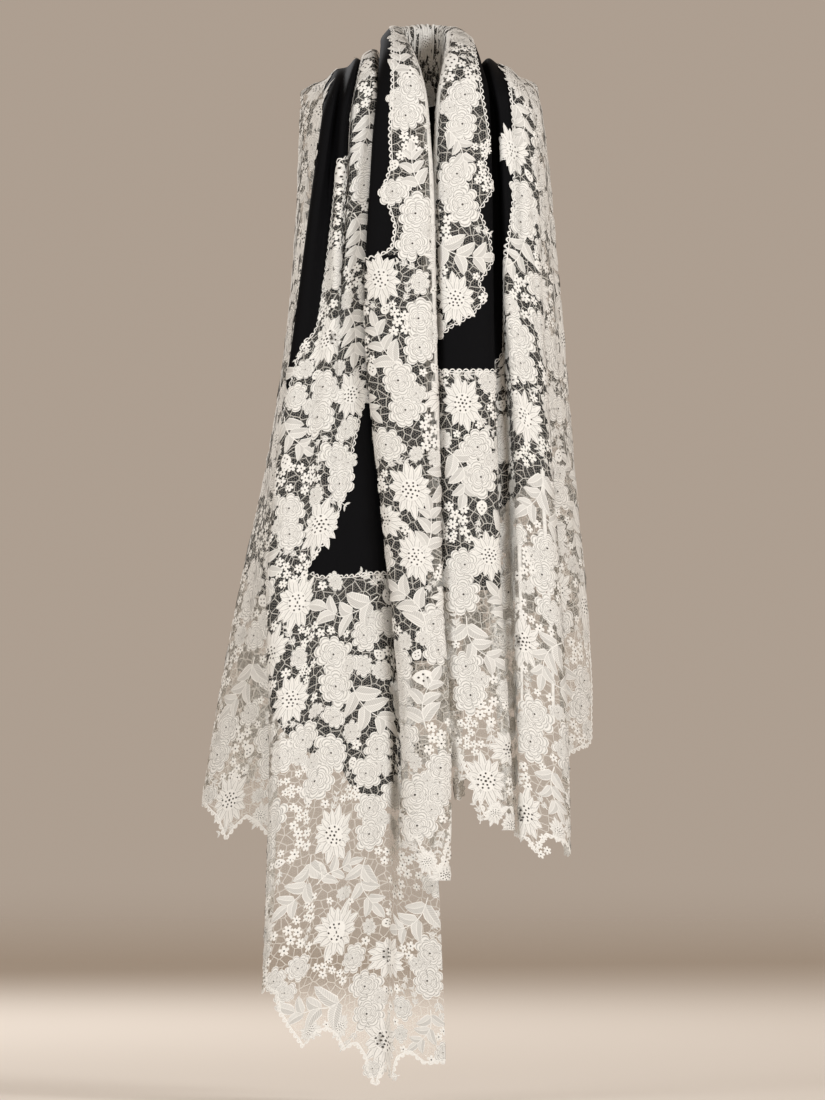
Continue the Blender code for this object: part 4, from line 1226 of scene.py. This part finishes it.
def lobe_finish():
    n = Nodes("lace_lobe", THREAD, 0.75)
    x, y = n.uv()
    a = across(n, x)
    rings = n.math("ADD", n.line(y, 0.90, 0.055), n.line(y, 0.70, 0.06))
    rings = n.math("ADD", rings, n.math("MULTIPLY", n.line(y, 0.48, 0.07), 0.7))
    side = n.line(a, 0.94, 0.13)
    dark = n.math("ADD", n.math("MULTIPLY", rings, 0.62), n.math("MULTIPLY", side, 0.40))
    # The rings and side lines are the lace's own outlines; the darkening at the root, under the inner ring, is painted
    # shade.
    dark = n.math("ADD", dark, n.math("MULTIPLY", n.line(y, 0.1, 0.3), 0.22))
    dark = n.math("ADD", dark, n.math("MULTIPLY", n.noise(380.0), 0.10))
    n.colour(n.math("SUBTRACT", 1.0, dark, clamp=True), SHADE, THREAD)
    return n.material


def leaf_finish():
    n = Nodes("lace_leaf", THREAD, 0.7)
    x, y = n.uv()
    a = across(n, x)
    rib = n.line(a, 0.0, 0.09)
    hatch = n.math("SINE", n.math("MULTIPLY", n.math("SUBTRACT", n.math("MULTIPLY", y, 13.0), n.math("MULTIPLY", a, 2.5)), 6.283))
    half = n.math("GREATER_THAN", x, 0.5)
    fill = n.math("ADD", 0.26, n.math("MULTIPLY", hatch, 0.15))
    fill = n.math("ADD", fill, n.math("MULTIPLY", half, 0.13))
    rim = n.line(a, 1.0, 0.22)
    fill = n.math("SUBTRACT", fill, n.math("MULTIPLY", rib, 0.45))
    fill = n.math("SUBTRACT", fill, n.math("MULTIPLY", rim, 0.45), clamp=True)
    n.colour(n.math("SUBTRACT", 1.0, fill, clamp=True), SHADE, THREAD)
    return n.material


def plain_finish():
    n = Nodes("lace_thread", THREAD, 0.75)
    n.colour(n.math("ADD", 0.80, n.math("MULTIPLY", n.noise(700.0), 0.30), clamp=True), SHADE, THREAD)
    return n.material


def net_finish(name, cell, cover, thin, bars):
    """Fine six-sided net, and a web of small bars that links the motifs on it."""
    n = Nodes(name, (0.72, 0.695, 0.64, 1.0), 0.85)
    x, y = n.uv()
    k = 4 * math.pi / (math.sqrt(3) * cell)
    waves = []
    for degrees in (0, 120, 240):
        c, s = k * math.cos(math.radians(degrees)), k * math.sin(math.radians(degrees))
        waves.append(n.math("COSINE", n.math("ADD", n.math("MULTIPLY", x, c), n.math("MULTIPLY", y, s))))
    total = n.math("ADD", n.math("ADD", waves[0], waves[1]), waves[2])
    mask = n.math("DIVIDE", n.math("SUBTRACT", cover, total), 0.3, clamp=True)
    place = n.new("ShaderNodeUVMap", uv_map="UVMap")
    web = n.new("ShaderNodeTexVoronoi", feature="DISTANCE_TO_EDGE", voronoi_dimensions="2D")
    web.inputs["Scale"].default_value = 88.0
    n.link(place.outputs["UV"], web.inputs["Vector"])
    bar = n.math("DIVIDE", n.math("SUBTRACT", bars, web.outputs["Distance"]), 0.05, clamp=True)
    n.link(n.math("MAXIMUM", n.math("MULTIPLY", mask, thin), n.math("MULTIPLY", bar, 0.62)), n.shader.inputs["Alpha"])
    return n.material


def black_finish():
    n = Nodes("black_weave", (0.0020, 0.0020, 0.0026, 1.0), 0.75)
    n.shader.inputs["Specular IOR Level"].default_value = 0.08
    x, y = n.uv()
    weave = n.math("MULTIPLY", n.math("SINE", n.math("MULTIPLY", x, 9000.0)), n.math("SINE", n.math("MULTIPLY", y, 9000.0)))
    n.colour(n.math("ADD", 0.5, n.math("MULTIPLY", weave, 0.5)), (0.0014, 0.0014, 0.0018, 1.0), (0.0030, 0.0030, 0.0038, 1.0))
    return n.material


def rim_finish():
    n = Nodes("lace_rim", THREAD, 0.75)
    x, y = n.uv()
    a = across(n, x)
    dark = n.math("ADD", n.math("MULTIPLY", n.noise(160.0, 4.0), 0.55), n.math("MULTIPLY", n.line(a, 1.0, 0.5), 0.35))
    n.colour(n.math("SUBTRACT", 1.12, dark, clamp=True), SHADE, THREAD)
    return n.material


FINISH = {
    "rim": rim_finish(),
    "petal": petal_finish(), "lobe": lobe_finish(), "leaf": leaf_finish(), "plain": plain_finish(),
    # dark: painted shade, for the eyelet holes and the crease inside the neck
    "dark": Nodes("lace_painted_shade", (0.055, 0.048, 0.042, 1.0), 0.9).material,
}
NET = net_finish("lace_net", 0.0037, -0.70, 0.27, 0.078)
PALE_NET = net_finish("lace_net_pale", 0.0036, -0.60, 0.48, 0.10)
CLOTH = black_finish()

# ---------------------------------------------------------------- the black field
LEFT_OUT, LEFT_BACK = cape.s("front_l_edge") + 0.5, float(cape.s("back_l_tuck"))
RIGHT_BACK, RIGHT_OUT, END = float(cape.s("back_r_tuck")), cape.s("front_r_tuck") + 0.5, float(cape.s("front_r_under"))


def by_line(first, levels):
    known = [cape.tops[first + k] if v is None else v for k, v in enumerate(levels)]
    return lambda s: soft(known, np.asarray(s, float) - first)


def back_from(first, last):
    levels = [h - BACK_BORDER for h in cape.hems[first : last + 1]]
    for k, corner in enumerate(BACK_CORNER):
        levels[k] = min(levels[k], corner)
        levels[-1 - k] = min(levels[-1 - k], corner)
    return levels


def rows_at(level):
    return lambda s: cape.row(s, level(s))


left = lambda column: by_line(0, [row[column] for row in LEFT_ENDS])
right = lambda column: by_line(cape.s("front_r_tuck"), [row[column] for row in RIGHT_ENDS[::-1]])
side = lambda levels: by_line(cape.s("front_l_tuck"), levels)
top = lambda s: np.zeros(np.shape(s))
every = lambda value: (lambda q: np.full(np.shape(q), float(value)))
black = lambda q: roll.edge(ROLL_BLACK, COLLAR_BLACK, q)
lace = lambda q: roll.edge(ROLL_LACE_FINE, COLLAR_LACE, q)
hem_row = rows_at(hem_level)

FLAT_LF = Flat(cape_map, 4.0, 0, LEFT_OUT)
FLAT_LS = Flat(cape_map, 12.0, LEFT_OUT, LEFT_BACK)
FLAT_BACK = Flat(cape_map, 28.0, LEFT_BACK, RIGHT_BACK)
FLAT_RS = Flat(cape_map, 41.0, RIGHT_BACK, RIGHT_OUT)
FLAT_RF = Flat(cape_map, 48.0, RIGHT_OUT, END)
FLAT_ROLL = Flat(roll_map, 4.0, 0, 7)

SOFT_CLOTH, ON_TOP = 0.0006, 0.0016


def sheet(piece, area_share=None):
    """Prints the cut of a cloth: its width, its length and the share of that box it fills."""
    wide, tall, area = piece["cut"]
    print("cut of", piece.name, "%.3f x %.3f, %.3f of it" % (wide, tall, area / (wide * tall)))
    wide, tall = (round(size * min(1.0, math.sqrt(area / (0.32 * wide * tall))) * max(1.0, math.sqrt(area / (wide * tall))), 3) for size in (wide, tall))


fields = []


def field(name, nodes, flat, low, high, start, end, per_line=5, rows=76, thick=0.0009):
    s, r = cape_grid(low, high, start, end, per_line, rows)
    piece = cloth_piece(name, flat, s, r, SOFT_CLOTH, CLOTH, 1.0, thick)
    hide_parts(*nodes)
    sheet(piece)
    return piece


field("black_left_front", ["field_left_front"], FLAT_LF, 0, LEFT_OUT, top, rows_at(left(1)))
s_l = float(cape.s("front_l_tuck"))
field("black_left_side", ["field_left_side"], FLAT_LS, s_l, LEFT_BACK, rows_at(side(SIDE_FROM)), rows_at(side(SIDE_TO)), rows=60)
field("black_back", ["field_back"], FLAT_BACK, LEFT_BACK, RIGHT_BACK, top, rows_at(lambda s: soft(cape.hems, s) - (BACK_BORDER - BACK_UNDER)), 3, 60)
field("black_right_front", ["field_right_front"], FLAT_RF, RIGHT_OUT, END, top, rows_at(right(1)))


def roll_field(name, nodes, first, last, low, high, across_count=30):
    s, q = roll_grid(first, last, low, high, across_count)
    piece = cloth_piece(name, FLAT_ROLL, s, q, SOFT_CLOTH, CLOTH, -1.0, 0.0009)
    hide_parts(*nodes)
    sheet(piece)
    return piece


Q_L = lambda v: float(roll.q("left", v))
Q_R = lambda v: float(roll.q("right", v))
roll_field("black_neck", ["field_roll_left", "field_collar", "field_roll_right"], Q_L(660), Q_R(590), black, every(7))
roll_field("black_nape", ["field_nape"], roll.first + NAPE_AT[0], roll.first + NAPE_AT[1], every(0), every(NAPE_TO), 10)


# ---------------------------------------------------------------- the lace
# Motifs listed one by one on the main folds. Columns: piece, motif, x, level, turn in degrees
# from across the cloth, size in metres.
PINS = (
    ("left_band", "double", 366, 172, 85, 0.056), ("left_band", "cluster", 368, 92, 20, 0.042),
    ("left_band", "spray", 363, 130, 80, 0.060), ("left_band", "bud", 366, 66, 90, 0.024),
    ("left_band", "spray", 355, 236, 95, 0.064), ("left_band", "cluster", 352, 280, 0, 0.040),
    ("left_band", "bud", 341, 170, -80, 0.030), ("left_band", "cluster", 343, 212, 0, 0.036),
    ("left_band", "daisy", 328, 338, 60, 0.064), ("left_band", "spray", 352, 330, 100, 0.066),
    ("left_band", "double", 322, 400, 80, 0.062), ("left_band", "daisy", 352, 395, 110, 0.060),
    ("left_band", "spray", 295, 430, 120, 0.066), ("left_band", "double", 338, 470, 100, 0.058),
    ("left_band", "cluster", 305, 480, 0, 0.044), ("left_band", "daisy", 318, 522, 70, 0.066),
    ("left_band", "double", 290, 520, 90, 0.056), ("left_band", "cluster", 276, 480, 0, 0.040),
    ("left_end", "daisy", 297, 604, 75, 0.070), ("left_end", "spray", 348, 604, 4, 0.082),
    ("left_end", "double", 335, 672, 95, 0.068), ("left_end", "daisy", 290, 700, 70, 0.064),
    ("left_end", "spray", 372, 706, 130, 0.080), ("left_end", "double", 324, 768, 60, 0.066),
    ("left_end", "daisy", 334, 835, 80, 0.072), ("left_end", "spray", 299, 884, 60, 0.078),
    ("left_end", "daisy", 337, 934, 65, 0.074), ("left_end", "spray", 316, 996, 6, 0.084),
    ("left_end", "daisy", 383, 1041, 80, 0.072), ("left_end", "double", 366, 1002, 95, 0.060),
    ("left_end", "double", 430, 968, 85, 0.060), ("left_end", "spray", 408, 918, 50, 0.076),
    ("left_end", "cluster", 300, 846, 0, 0.044), ("left_end", "cluster", 291, 938, 0, 0.044),
    ("left_end", "cluster", 402, 868, 0, 0.042), ("left_end", "spray", 370, 880, 100, 0.072),
    ("left_end", "spray", 425, 1030, 70, 0.056), ("left_end", "double", 372, 820, 90, 0.056),
    ("left_side", "daisy", 230, 800, 85, 0.068), ("left_side", "spray", 244, 682, 60, 0.078),
    ("left_side", "double", 252, 585, 85, 0.060), ("left_side", "double", 222, 740, 75, 0.058),
    ("left_side", "cluster", 240, 735, 0, 0.044), ("left_side", "cluster", 262, 520, 0, 0.040),
    ("left_side", "double", 286, 330, 85, 0.056), ("left_side", "spray", 303, 190, 85, 0.060),
    ("left_side", "daisy", 296, 262, 85, 0.056), ("left_side", "daisy", 276, 440, 80, 0.060),
    ("left_side", "cluster", 306, 120, 0, 0.040), ("left_side", "spray", 283, 388, 80, 0.060),
    ("right_end", "daisy", 512, 152, 80, 0.062), ("right_end", "spray", 519, 118, 100, 0.052),
    ("right_end", "double", 524, 206, 85, 0.058), ("right_end", "spray", 517, 252, 60, 0.066),
    ("right_end", "cluster", 516, 290, 0, 0.042), ("right_end", "double", 520, 348, 90, 0.062),
    ("right_end", "daisy", 524, 420, 85, 0.066), ("right_end", "spray", 533, 490, 70, 0.074),
    ("right_end", "double", 545, 560, 80, 0.062), ("right_end", "cluster", 525, 560, 0, 0.042),
    ("right_end", "daisy", 524, 640, 85, 0.066), ("right_end", "spray", 550, 660, 60, 0.070),
    ("right_end", "double", 535, 726, 80, 0.064), ("right_end", "daisy", 524, 812, 85, 0.066),
    ("right_end", "spray", 556, 790, 95, 0.060),
    ("right_side", "double", 550, 180, 85, 0.052), ("right_side", "spray", 556, 260, 80, 0.060),
    ("right_side", "daisy", 563, 340, 85, 0.060), ("right_side", "double", 570, 430, 85, 0.056),
    ("right_side", "spray", 576, 520, 80, 0.066), ("right_side", "daisy", 584, 604, 80, 0.062),
    ("right_side", "double", 583, 690, 75, 0.058), ("right_side", "cluster", 575, 650, 0, 0.042),
    ("neck", "double", 410, 104, 100, 0.060), ("neck", "cluster", 406, 146, 0, 0.042),
    ("neck", "spray", 416, 172, 75, 0.056), ("neck", "double", 415, 232, 95, 0.064),
    ("neck", "daisy", 381, 282, 85, 0.066), ("neck", "cluster", 398, 320, 0, 0.042),
    ("neck", "spray", 388, 346, 60, 0.068), ("neck", "double", 420, 330, 90, 0.062),
    ("neck", "double", 404, 402, 80, 0.064), ("neck", "cluster", 428, 440, 0, 0.044),
    ("neck", "daisy", 410, 484, 80, 0.070), ("neck", "spray", 428, 530, 100, 0.064),
    ("neck", "daisy", 416, 560, 80, 0.064), ("neck", "spray", 412, 604, 60, 0.076),
    ("neck", "double", 436, 640, 85, 0.056), ("neck", "bud", 424, 672, 0, 0.030),
    ("neck", "spray", 430, 700, 100, 0.072), ("neck", "cluster", 432, 736, 0, 0.044),
    ("neck", "double", 418, 812, 85, 0.066), ("neck", "double", 440, 776, 95, 0.056),
    ("neck", "bud", 410, 76, 100, 0.024), ("neck", "spray", 396, 60, 110, 0.050),
    ("neck", "double", 462, 112, 95, 0.060), ("neck", "bud", 452, 62, 80, 0.026),
    ("neck", "spray", 455, 148, 60, 0.056), ("neck", "double", 458, 192, 80, 0.066),
    ("neck", "cluster", 446, 232, 0, 0.042), ("neck", "spray", 460, 252, 20, 0.074),
    ("neck", "daisy", 455, 302, 80, 0.066), ("neck", "cluster", 442, 276, 0, 0.040),
    ("roll_right", "daisy", 462, 402, 80, 0.066), ("roll_right", "double", 478, 462, 85, 0.064),
    ("roll_right", "spray", 455, 470, 70, 0.070), ("roll_right", "cluster", 462, 520, 0, 0.044),
    ("roll_right", "double", 462, 580, 95, 0.064), ("roll_right", "daisy", 488, 560, 85, 0.062),
    ("roll_right", "spray", 482, 636, 60, 0.076), ("roll_right", "double", 466, 684, 85, 0.062),
    ("roll_right", "daisy", 485, 776, 85, 0.068), ("roll_right", "cluster", 488, 712, 0, 0.044),
)
EDGE = (
    ("double", 0.046, 0.060, 0.2), ("daisy", 0.052, 0.064, 0.4), ("ruffled", 0.034, 0.046, None), ("ruffled", 0.030, 0.040, None),
    ("spray", 0.050, 0.066, 0.9), ("spray", 0.050, 0.066, 2.3), ("cluster", 0.036, 0.042, None),
)
HEM_ROW = (("daisy", 0.032, 0.042, None), ("cluster", 0.034, 0.040, None), ("ruffled", 0.026, 0.036, None), ("spray", 0.036, 0.044, 0.3), ("fern", 0.030, 0.036, 0.2))


# Smooth rims of doubled lace along the inner edges of the roll. By piece: from section, to
# section, place across.
RIMS = {"neck": ((6.0, 15.8, 2.26), (22.2, 29.2, 2.3))}
# The same along the folds of the hanging ends. By piece: line, from level, to level, width.
FOLDS = {
    "left_end": ((8.28, 600, 980, 0.0080),), "right_end": ((45.9, 470, 720, 0.0060), (47.9, 540, 700, 0.0050)),
    "left_side": ((12.1, 130, 420, 0.0050),), "right_side": ((42.0, 110, 330, 0.0060),),
}
# Gathers inside the back of the neck. Columns: section, places across from and to, width.
GATHERS = (
    (16.2, 1.05, 2.2, 0.0060), (16.7, 1.30, 2.3, 0.0050), (17.2, 0.95, 2.2, 0.0070), (17.8, 1.25, 2.3, 0.0060), (18.3, 1.00, 2.1, 0.0050),
    (18.7, 1.30, 2.3, 0.0070), (19.2, 1.25, 2.2, 0.0050), (19.7, 0.95, 2.3, 0.0070), (20.3, 1.30, 2.2, 0.0060), (20.8, 1.00, 2.3, 0.0050),
    (21.3, 1.25, 2.2, 0.0070), (21.9, 1.10, 2.3, 0.0060),
)
NAPE_PINS = (
    # Motifs inside the back of the neck. Columns: motif, place across, section, turn, size.
    ("daisy", 1.45, 19.0, 0, 0.050), ("cluster", 1.75, 17.2, 90, 0.036), ("cluster", 1.75, 20.8, 90, 0.036),
    ("double", 1.35, 17.0, 0, 0.044), ("double", 1.35, 21.0, 0, 0.044), ("bud", 1.9, 18.2, 30, 0.022),
    ("bud", 1.9, 19.7, 150, 0.022), ("cluster", 1.0, 18.2, 0, 0.036), ("cluster", 1.0, 19.9, 0, 0.036),
    ("spray", 2.3, 18.9, 90, 0.056), ("cluster", 2.6, 17.6, 90, 0.036), ("cluster", 2.6, 20.2, 90, 0.036),
)


def lay(layout, name, edges=(), hems=(), amount=1.0):
    """Sets out one piece of lace: the listed motifs, along its edges, then the ground."""
    for piece, kind, x, level, turn, size in PINS:
        if piece == name:
            layout.pin(kind, x, level, math.radians(turn), size)
    for line, upper, lower, wide in FOLDS.get(name, ()):
        levels = np.linspace(upper, lower, 120)
        places = line + 0.05 * np.sin(levels / 37.0)
        layout.cord(places, cape.row(places, levels), 0.0, 0.0, wide, 0.0004, "rim")
    for low, high, place in RIMS.get(name, ()):
        along_it = np.linspace(low, high, 160)
        layout.cord(np.interp(along_it, [low, low + 3, high - 3, high], [place - 0.15, place, place, place - 0.15]), along_it, 0.0, 0.0, 0.0075, 0.0005, "rim")
    if name == "neck":
        for section, low, high, wide in GATHERS:
            across_it = np.linspace(low, high, 24)
            layout.cord(across_it, section + 0.10 * np.sin(5 * across_it + section), 0.0, 0.0, wide, 0.0016, "rim")
        # A dark cord of painted shade along the crease inside the back of the neck.
        around = np.linspace(16.9, 21.1, 60)
        layout.cord(1.22 + 0.03 * np.sin(3 * around), around, 0.0, 0.0, 0.0014, 0.0004, "dark")
        for kind, s, r, turn, size in NAPE_PINS:
            layout.inner(kind, s, r, math.radians(turn), size)
    for s, r in hems:
        layout.cord(s, r, 0.0, 0.0, 0.0022, 0.0010)
        layout.edge(s, r, HEM_ROW, 0.0, -0.009, 0.12, 0.006)
        layout.cord(s, r, 0.0092, 0.0042, 0.0020, 0.0012)
        layout.cord(s, r, 0.0092, 0.0022, 0.0016, 0.0012)
    for s, r in edges:
        layout.edge(s, r, EDGE, 0.0, 0.014, 0.10, 0.012)
        layout.cord(s, r, 0.0092, -0.0036, 0.0018, 0.0014)
        layout.cord(s, r, 0.0, 0.0, 0.0013, 0.0010)
    tries = lambda n: int(n * amount)
    layout.fill("double", 0.050, 0.066, tries(1500), 0.0006, 0.03)
    layout.fill("daisy", 0.056, 0.070, tries(1500), 0.0006, 0.03)
    layout.fill("spray", 0.056, 0.080, tries(3000), 0.0004, 0.06)
    layout.fill("ruffled", 0.030, 0.044, tries(2500), 0.0004, 0.03)
    layout.fill("cluster", 0.032, 0.042, tries(6000), 0.0, 0.08)
    layout.fill("ruffled", 0.022, 0.030, tries(5000), 0.0002, 0.05)
    layout.fill("bud", 0.016, 0.022, tries(900), 0.0004, 0.05)
    layout.fill("fern", 0.024, 0.040, tries(9000), 0.0, 0.14)
    layout.fill("tiny", 0.0054, 0.0072, tries(18000), 0.0005, 0.03)


def lace_piece(name, nodes, flat, stretch, grid, seed, edges=(), hems=(), outside=1.0, amount=1.0):
    s, r = grid
    net = cloth_piece("net_" + name, flat, s, r, ON_TOP, PALE_NET if name in ("left_side", "right_side", "back") else NET, outside)
    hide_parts(*nodes)
    layout = Layout(flat, stretch, seed)
    lay(layout, name, edges, hems, amount)
    motifs = flowers("motifs_" + name, layout, ON_TOP + 0.0004, outside)
    sheet(net)
    print("lace", name, "motif tris", sum(len(p.vertices) - 2 for p in motifs.data.polygons))
    return net


def line_of(low, high, rows, count=160):
    s = np.linspace(low, high, count)
    return s, rows(s)


WAVE = 0.0045
amount = 1.0
band_from, band_to = rows_at(left(2)), rows_at(left(3))
end_from = rows_at(lambda s: np.maximum(left(4)(s), left(3)(s)))
lace_piece(
    "left_band", ["lace_left_band"], FLAT_LF, Stretch(1.5, LEFT_OUT, band_from, band_to),
    cape_grid(1.5, LEFT_OUT, band_from, band_to, 10, 110, 0, FLAT_LF), 11,
    edges=[line_of(2.8, LEFT_OUT, band_from), (line_of(1.6, 6.6, band_to)[0][::-1], line_of(1.6, 6.6, band_to)[1][::-1])], amount=amount,
)
lace_piece(
    "left_end", ["lace_left_end"], FLAT_LF, Stretch(0, LEFT_OUT, end_from, hem_row),
    cape_grid(0, LEFT_OUT, end_from, hem_row, 10, 120, WAVE, FLAT_LF), 12,
    edges=[line_of(0.5, 5.6, end_from)], hems=[line_of(0, LEFT_OUT, hem_row)], amount=amount,
)
lace_piece(
    "left_side", ["lace_left_side"], FLAT_LS, Stretch(LEFT_OUT, LEFT_BACK, top, hem_row),
    cape_grid(LEFT_OUT, LEFT_BACK, top, hem_row, 10, 150, WAVE, FLAT_LS), 13,
    hems=[line_of(LEFT_OUT, LEFT_BACK, hem_row)], amount=amount,
)
back_row = rows_at(by_line(cape.s("back_l_tuck"), back_from(cape.s("back_l_tuck"), cape.s("back_r_tuck"))))
lace_piece(
    "back", ["lace_back"], FLAT_BACK, Stretch(LEFT_BACK, RIGHT_BACK, back_row, hem_row),
    cape_grid(LEFT_BACK, RIGHT_BACK, back_row, hem_row, 6, 60, WAVE, FLAT_BACK), 14,
    edges=[line_of(LEFT_BACK, RIGHT_BACK, back_row)], hems=[line_of(LEFT_BACK, RIGHT_BACK, hem_row)], amount=0.9 * amount,
)
lace_piece(
    "right_side", ["lace_right_side"], FLAT_RS, Stretch(RIGHT_BACK, RIGHT_OUT, top, hem_row),
    cape_grid(RIGHT_BACK, RIGHT_OUT, top, hem_row, 10, 140, WAVE, FLAT_RS), 15,
    hems=[line_of(RIGHT_BACK, RIGHT_OUT, hem_row)], amount=amount,
)
right_row = rows_at(right(2))
lace_piece(
    "right_end", ["lace_right_end"], FLAT_RF, Stretch(RIGHT_OUT, END, right_row, hem_row),
    cape_grid(RIGHT_OUT, END, right_row, hem_row, 12, 150, WAVE, FLAT_RF), 16,
    edges=[line_of(RIGHT_OUT + 1.6, END, right_row)], hems=[line_of(RIGHT_OUT, END, hem_row)], amount=amount,
)

POINTS = 0.11  # how far the small points of the rolls' hems rise, in sections
q_left_hem = lambda s: roll.hem("left", s)
q_right_hem = lambda s: roll.hem("right", s)
neck_s, neck_q = roll_grid(0, Q_R(338), every(0), lace, 60, 7)
neck_q = np.maximum(neck_q, q_left_hem(neck_s) + POINTS * np.abs(np.sin(2.5 * math.pi * neck_s)))
q_line = np.linspace(Q_L(262), Q_R(338), 300)
lace_piece(
    "neck", ["lace_roll_left", "lace_roll_left_strip", "lace_collar", "lace_roll_right_strip"], FLAT_ROLL,
    Band(0.6, Q_R(338), every(0), lace), (neck_s, neck_q), 17,
    edges=[(lace(q_line), q_line)],
    hems=[(np.linspace(0, 7, 80), q_left_hem(np.linspace(0, 7, 80)))], outside=-1.0, amount=1.3 * amount,
)
again = Q_R(ROLL_LACE_AGAIN[1])
rr_s, rr_q = roll_grid(again, roll.count - 1, every(0), every(7), 60, 7)
rr_q = np.minimum(rr_q, q_right_hem(rr_s) - POINTS * np.abs(np.sin(2.5 * math.pi * rr_s)))
lace_piece(
    "roll_right", ["lace_roll_right"], FLAT_ROLL, Band(again, roll.count - 1.6, every(0), every(7)), (rr_s, rr_q), 18,
    edges=[(np.linspace(0, 7, 80), np.full(80, again))],
    hems=[(np.linspace(7, 0, 80), q_right_hem(np.linspace(7, 0, 80)))], outside=-1.0, amount=amount,
)

# ---------------------------------------------------------------- the room
FLOOR = (CARRY - 1104) * UNIT


def floor():
    """A round pale floor whose edge fades into the plain studio."""
    angle = np.linspace(0, 2 * math.pi, 96, endpoint=False)
    points = [(0.0, 0.0, FLOOR)] + [(19 * math.cos(a), 19 * math.sin(a), FLOOR) for a in angle]
    faces = [(0, 1 + k, 1 + (k + 1) % 96) for k in range(96)]
    mesh = bpy.data.meshes.new("studio_floor")
    mesh.from_pydata(points, [], faces)
    n = Nodes("studio_floor", (0.74, 0.68, 0.61, 1.0), 0.9)
    n.shader.inputs["Specular IOR Level"].default_value = 0.1
    place = n.new("ShaderNodeTexCoord")
    length = n.new("ShaderNodeVectorMath", operation="LENGTH")
    flat = n.new("ShaderNodeVectorMath", operation="MULTIPLY")
    flat.inputs[1].default_value = (1.0, 1.0, 0.0)
    n.link(place.outputs["Object"], flat.inputs[0])
    n.link(flat.outputs["Vector"], length.inputs[0])
    fade = n.math("DIVIDE", n.math("SUBTRACT", 18.0, length.outputs["Value"]), 9.0, clamp=True)
    n.link(n.math("MULTIPLY", fade, fade), n.shader.inputs["Alpha"])
    mesh.materials.append(n.material)
    piece = bpy.data.objects.new("studio_floor", mesh)
    bpy.context.scene.collection.objects.link(piece)
    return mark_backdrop(piece)


floor()


def area_light(name, place, aim, size, power, colour):
    data = bpy.data.lights.new(name, "AREA")
    data.shape, data.size, data.energy, data.color = "DISK", size, power, colour
    lamp = bpy.data.objects.new(name, data)
    lamp.location = place
    lamp.rotation_euler = (Vector(aim) - Vector(place)).to_track_quat("-Z", "Y").to_euler()
    bpy.context.scene.collection.objects.link(lamp)


area_light("key", (3.9, -5.0, 2.0), (0, 0, -0.75), 2.0, 262, (0.96, 0.98, 1.0))
area_light("fill", (-3.4, -5.4, 0.4), (0, 0, -0.8), 2.4, 172, (0.93, 0.97, 1.0))
area_light("back", (-2.6, 5.2, 2.2), (0, 0, -0.7), 2.4, 185, (0.97, 0.98, 1.0))
world = bpy.data.worlds.new("room")
world.use_nodes = True
world.node_tree.nodes["Background"].inputs["Color"].default_value = (0.420, 0.345, 0.282, 1.0)
world.node_tree.nodes["Background"].inputs["Strength"].default_value = 1.0
bpy.context.scene.world = world
bpy.context.scene.view_settings.view_transform = "Standard"

camera = bpy.data.objects.new("camera", bpy.data.cameras.new("camera"))
bpy.context.scene.collection.objects.link(camera)
AWAY = 26.0
camera.data.sensor_fit = "VERTICAL"
camera.data.sensor_height = 24.0
camera.data.lens = 24.0 * AWAY / (1100 * UNIT)
camera.location = ((412.5 - MID) * UNIT, -0.09 - AWAY, (CARRY - 550) * UNIT)
camera.rotation_euler = (math.pi / 2, 0, 0)
bpy.context.scene.camera = camera
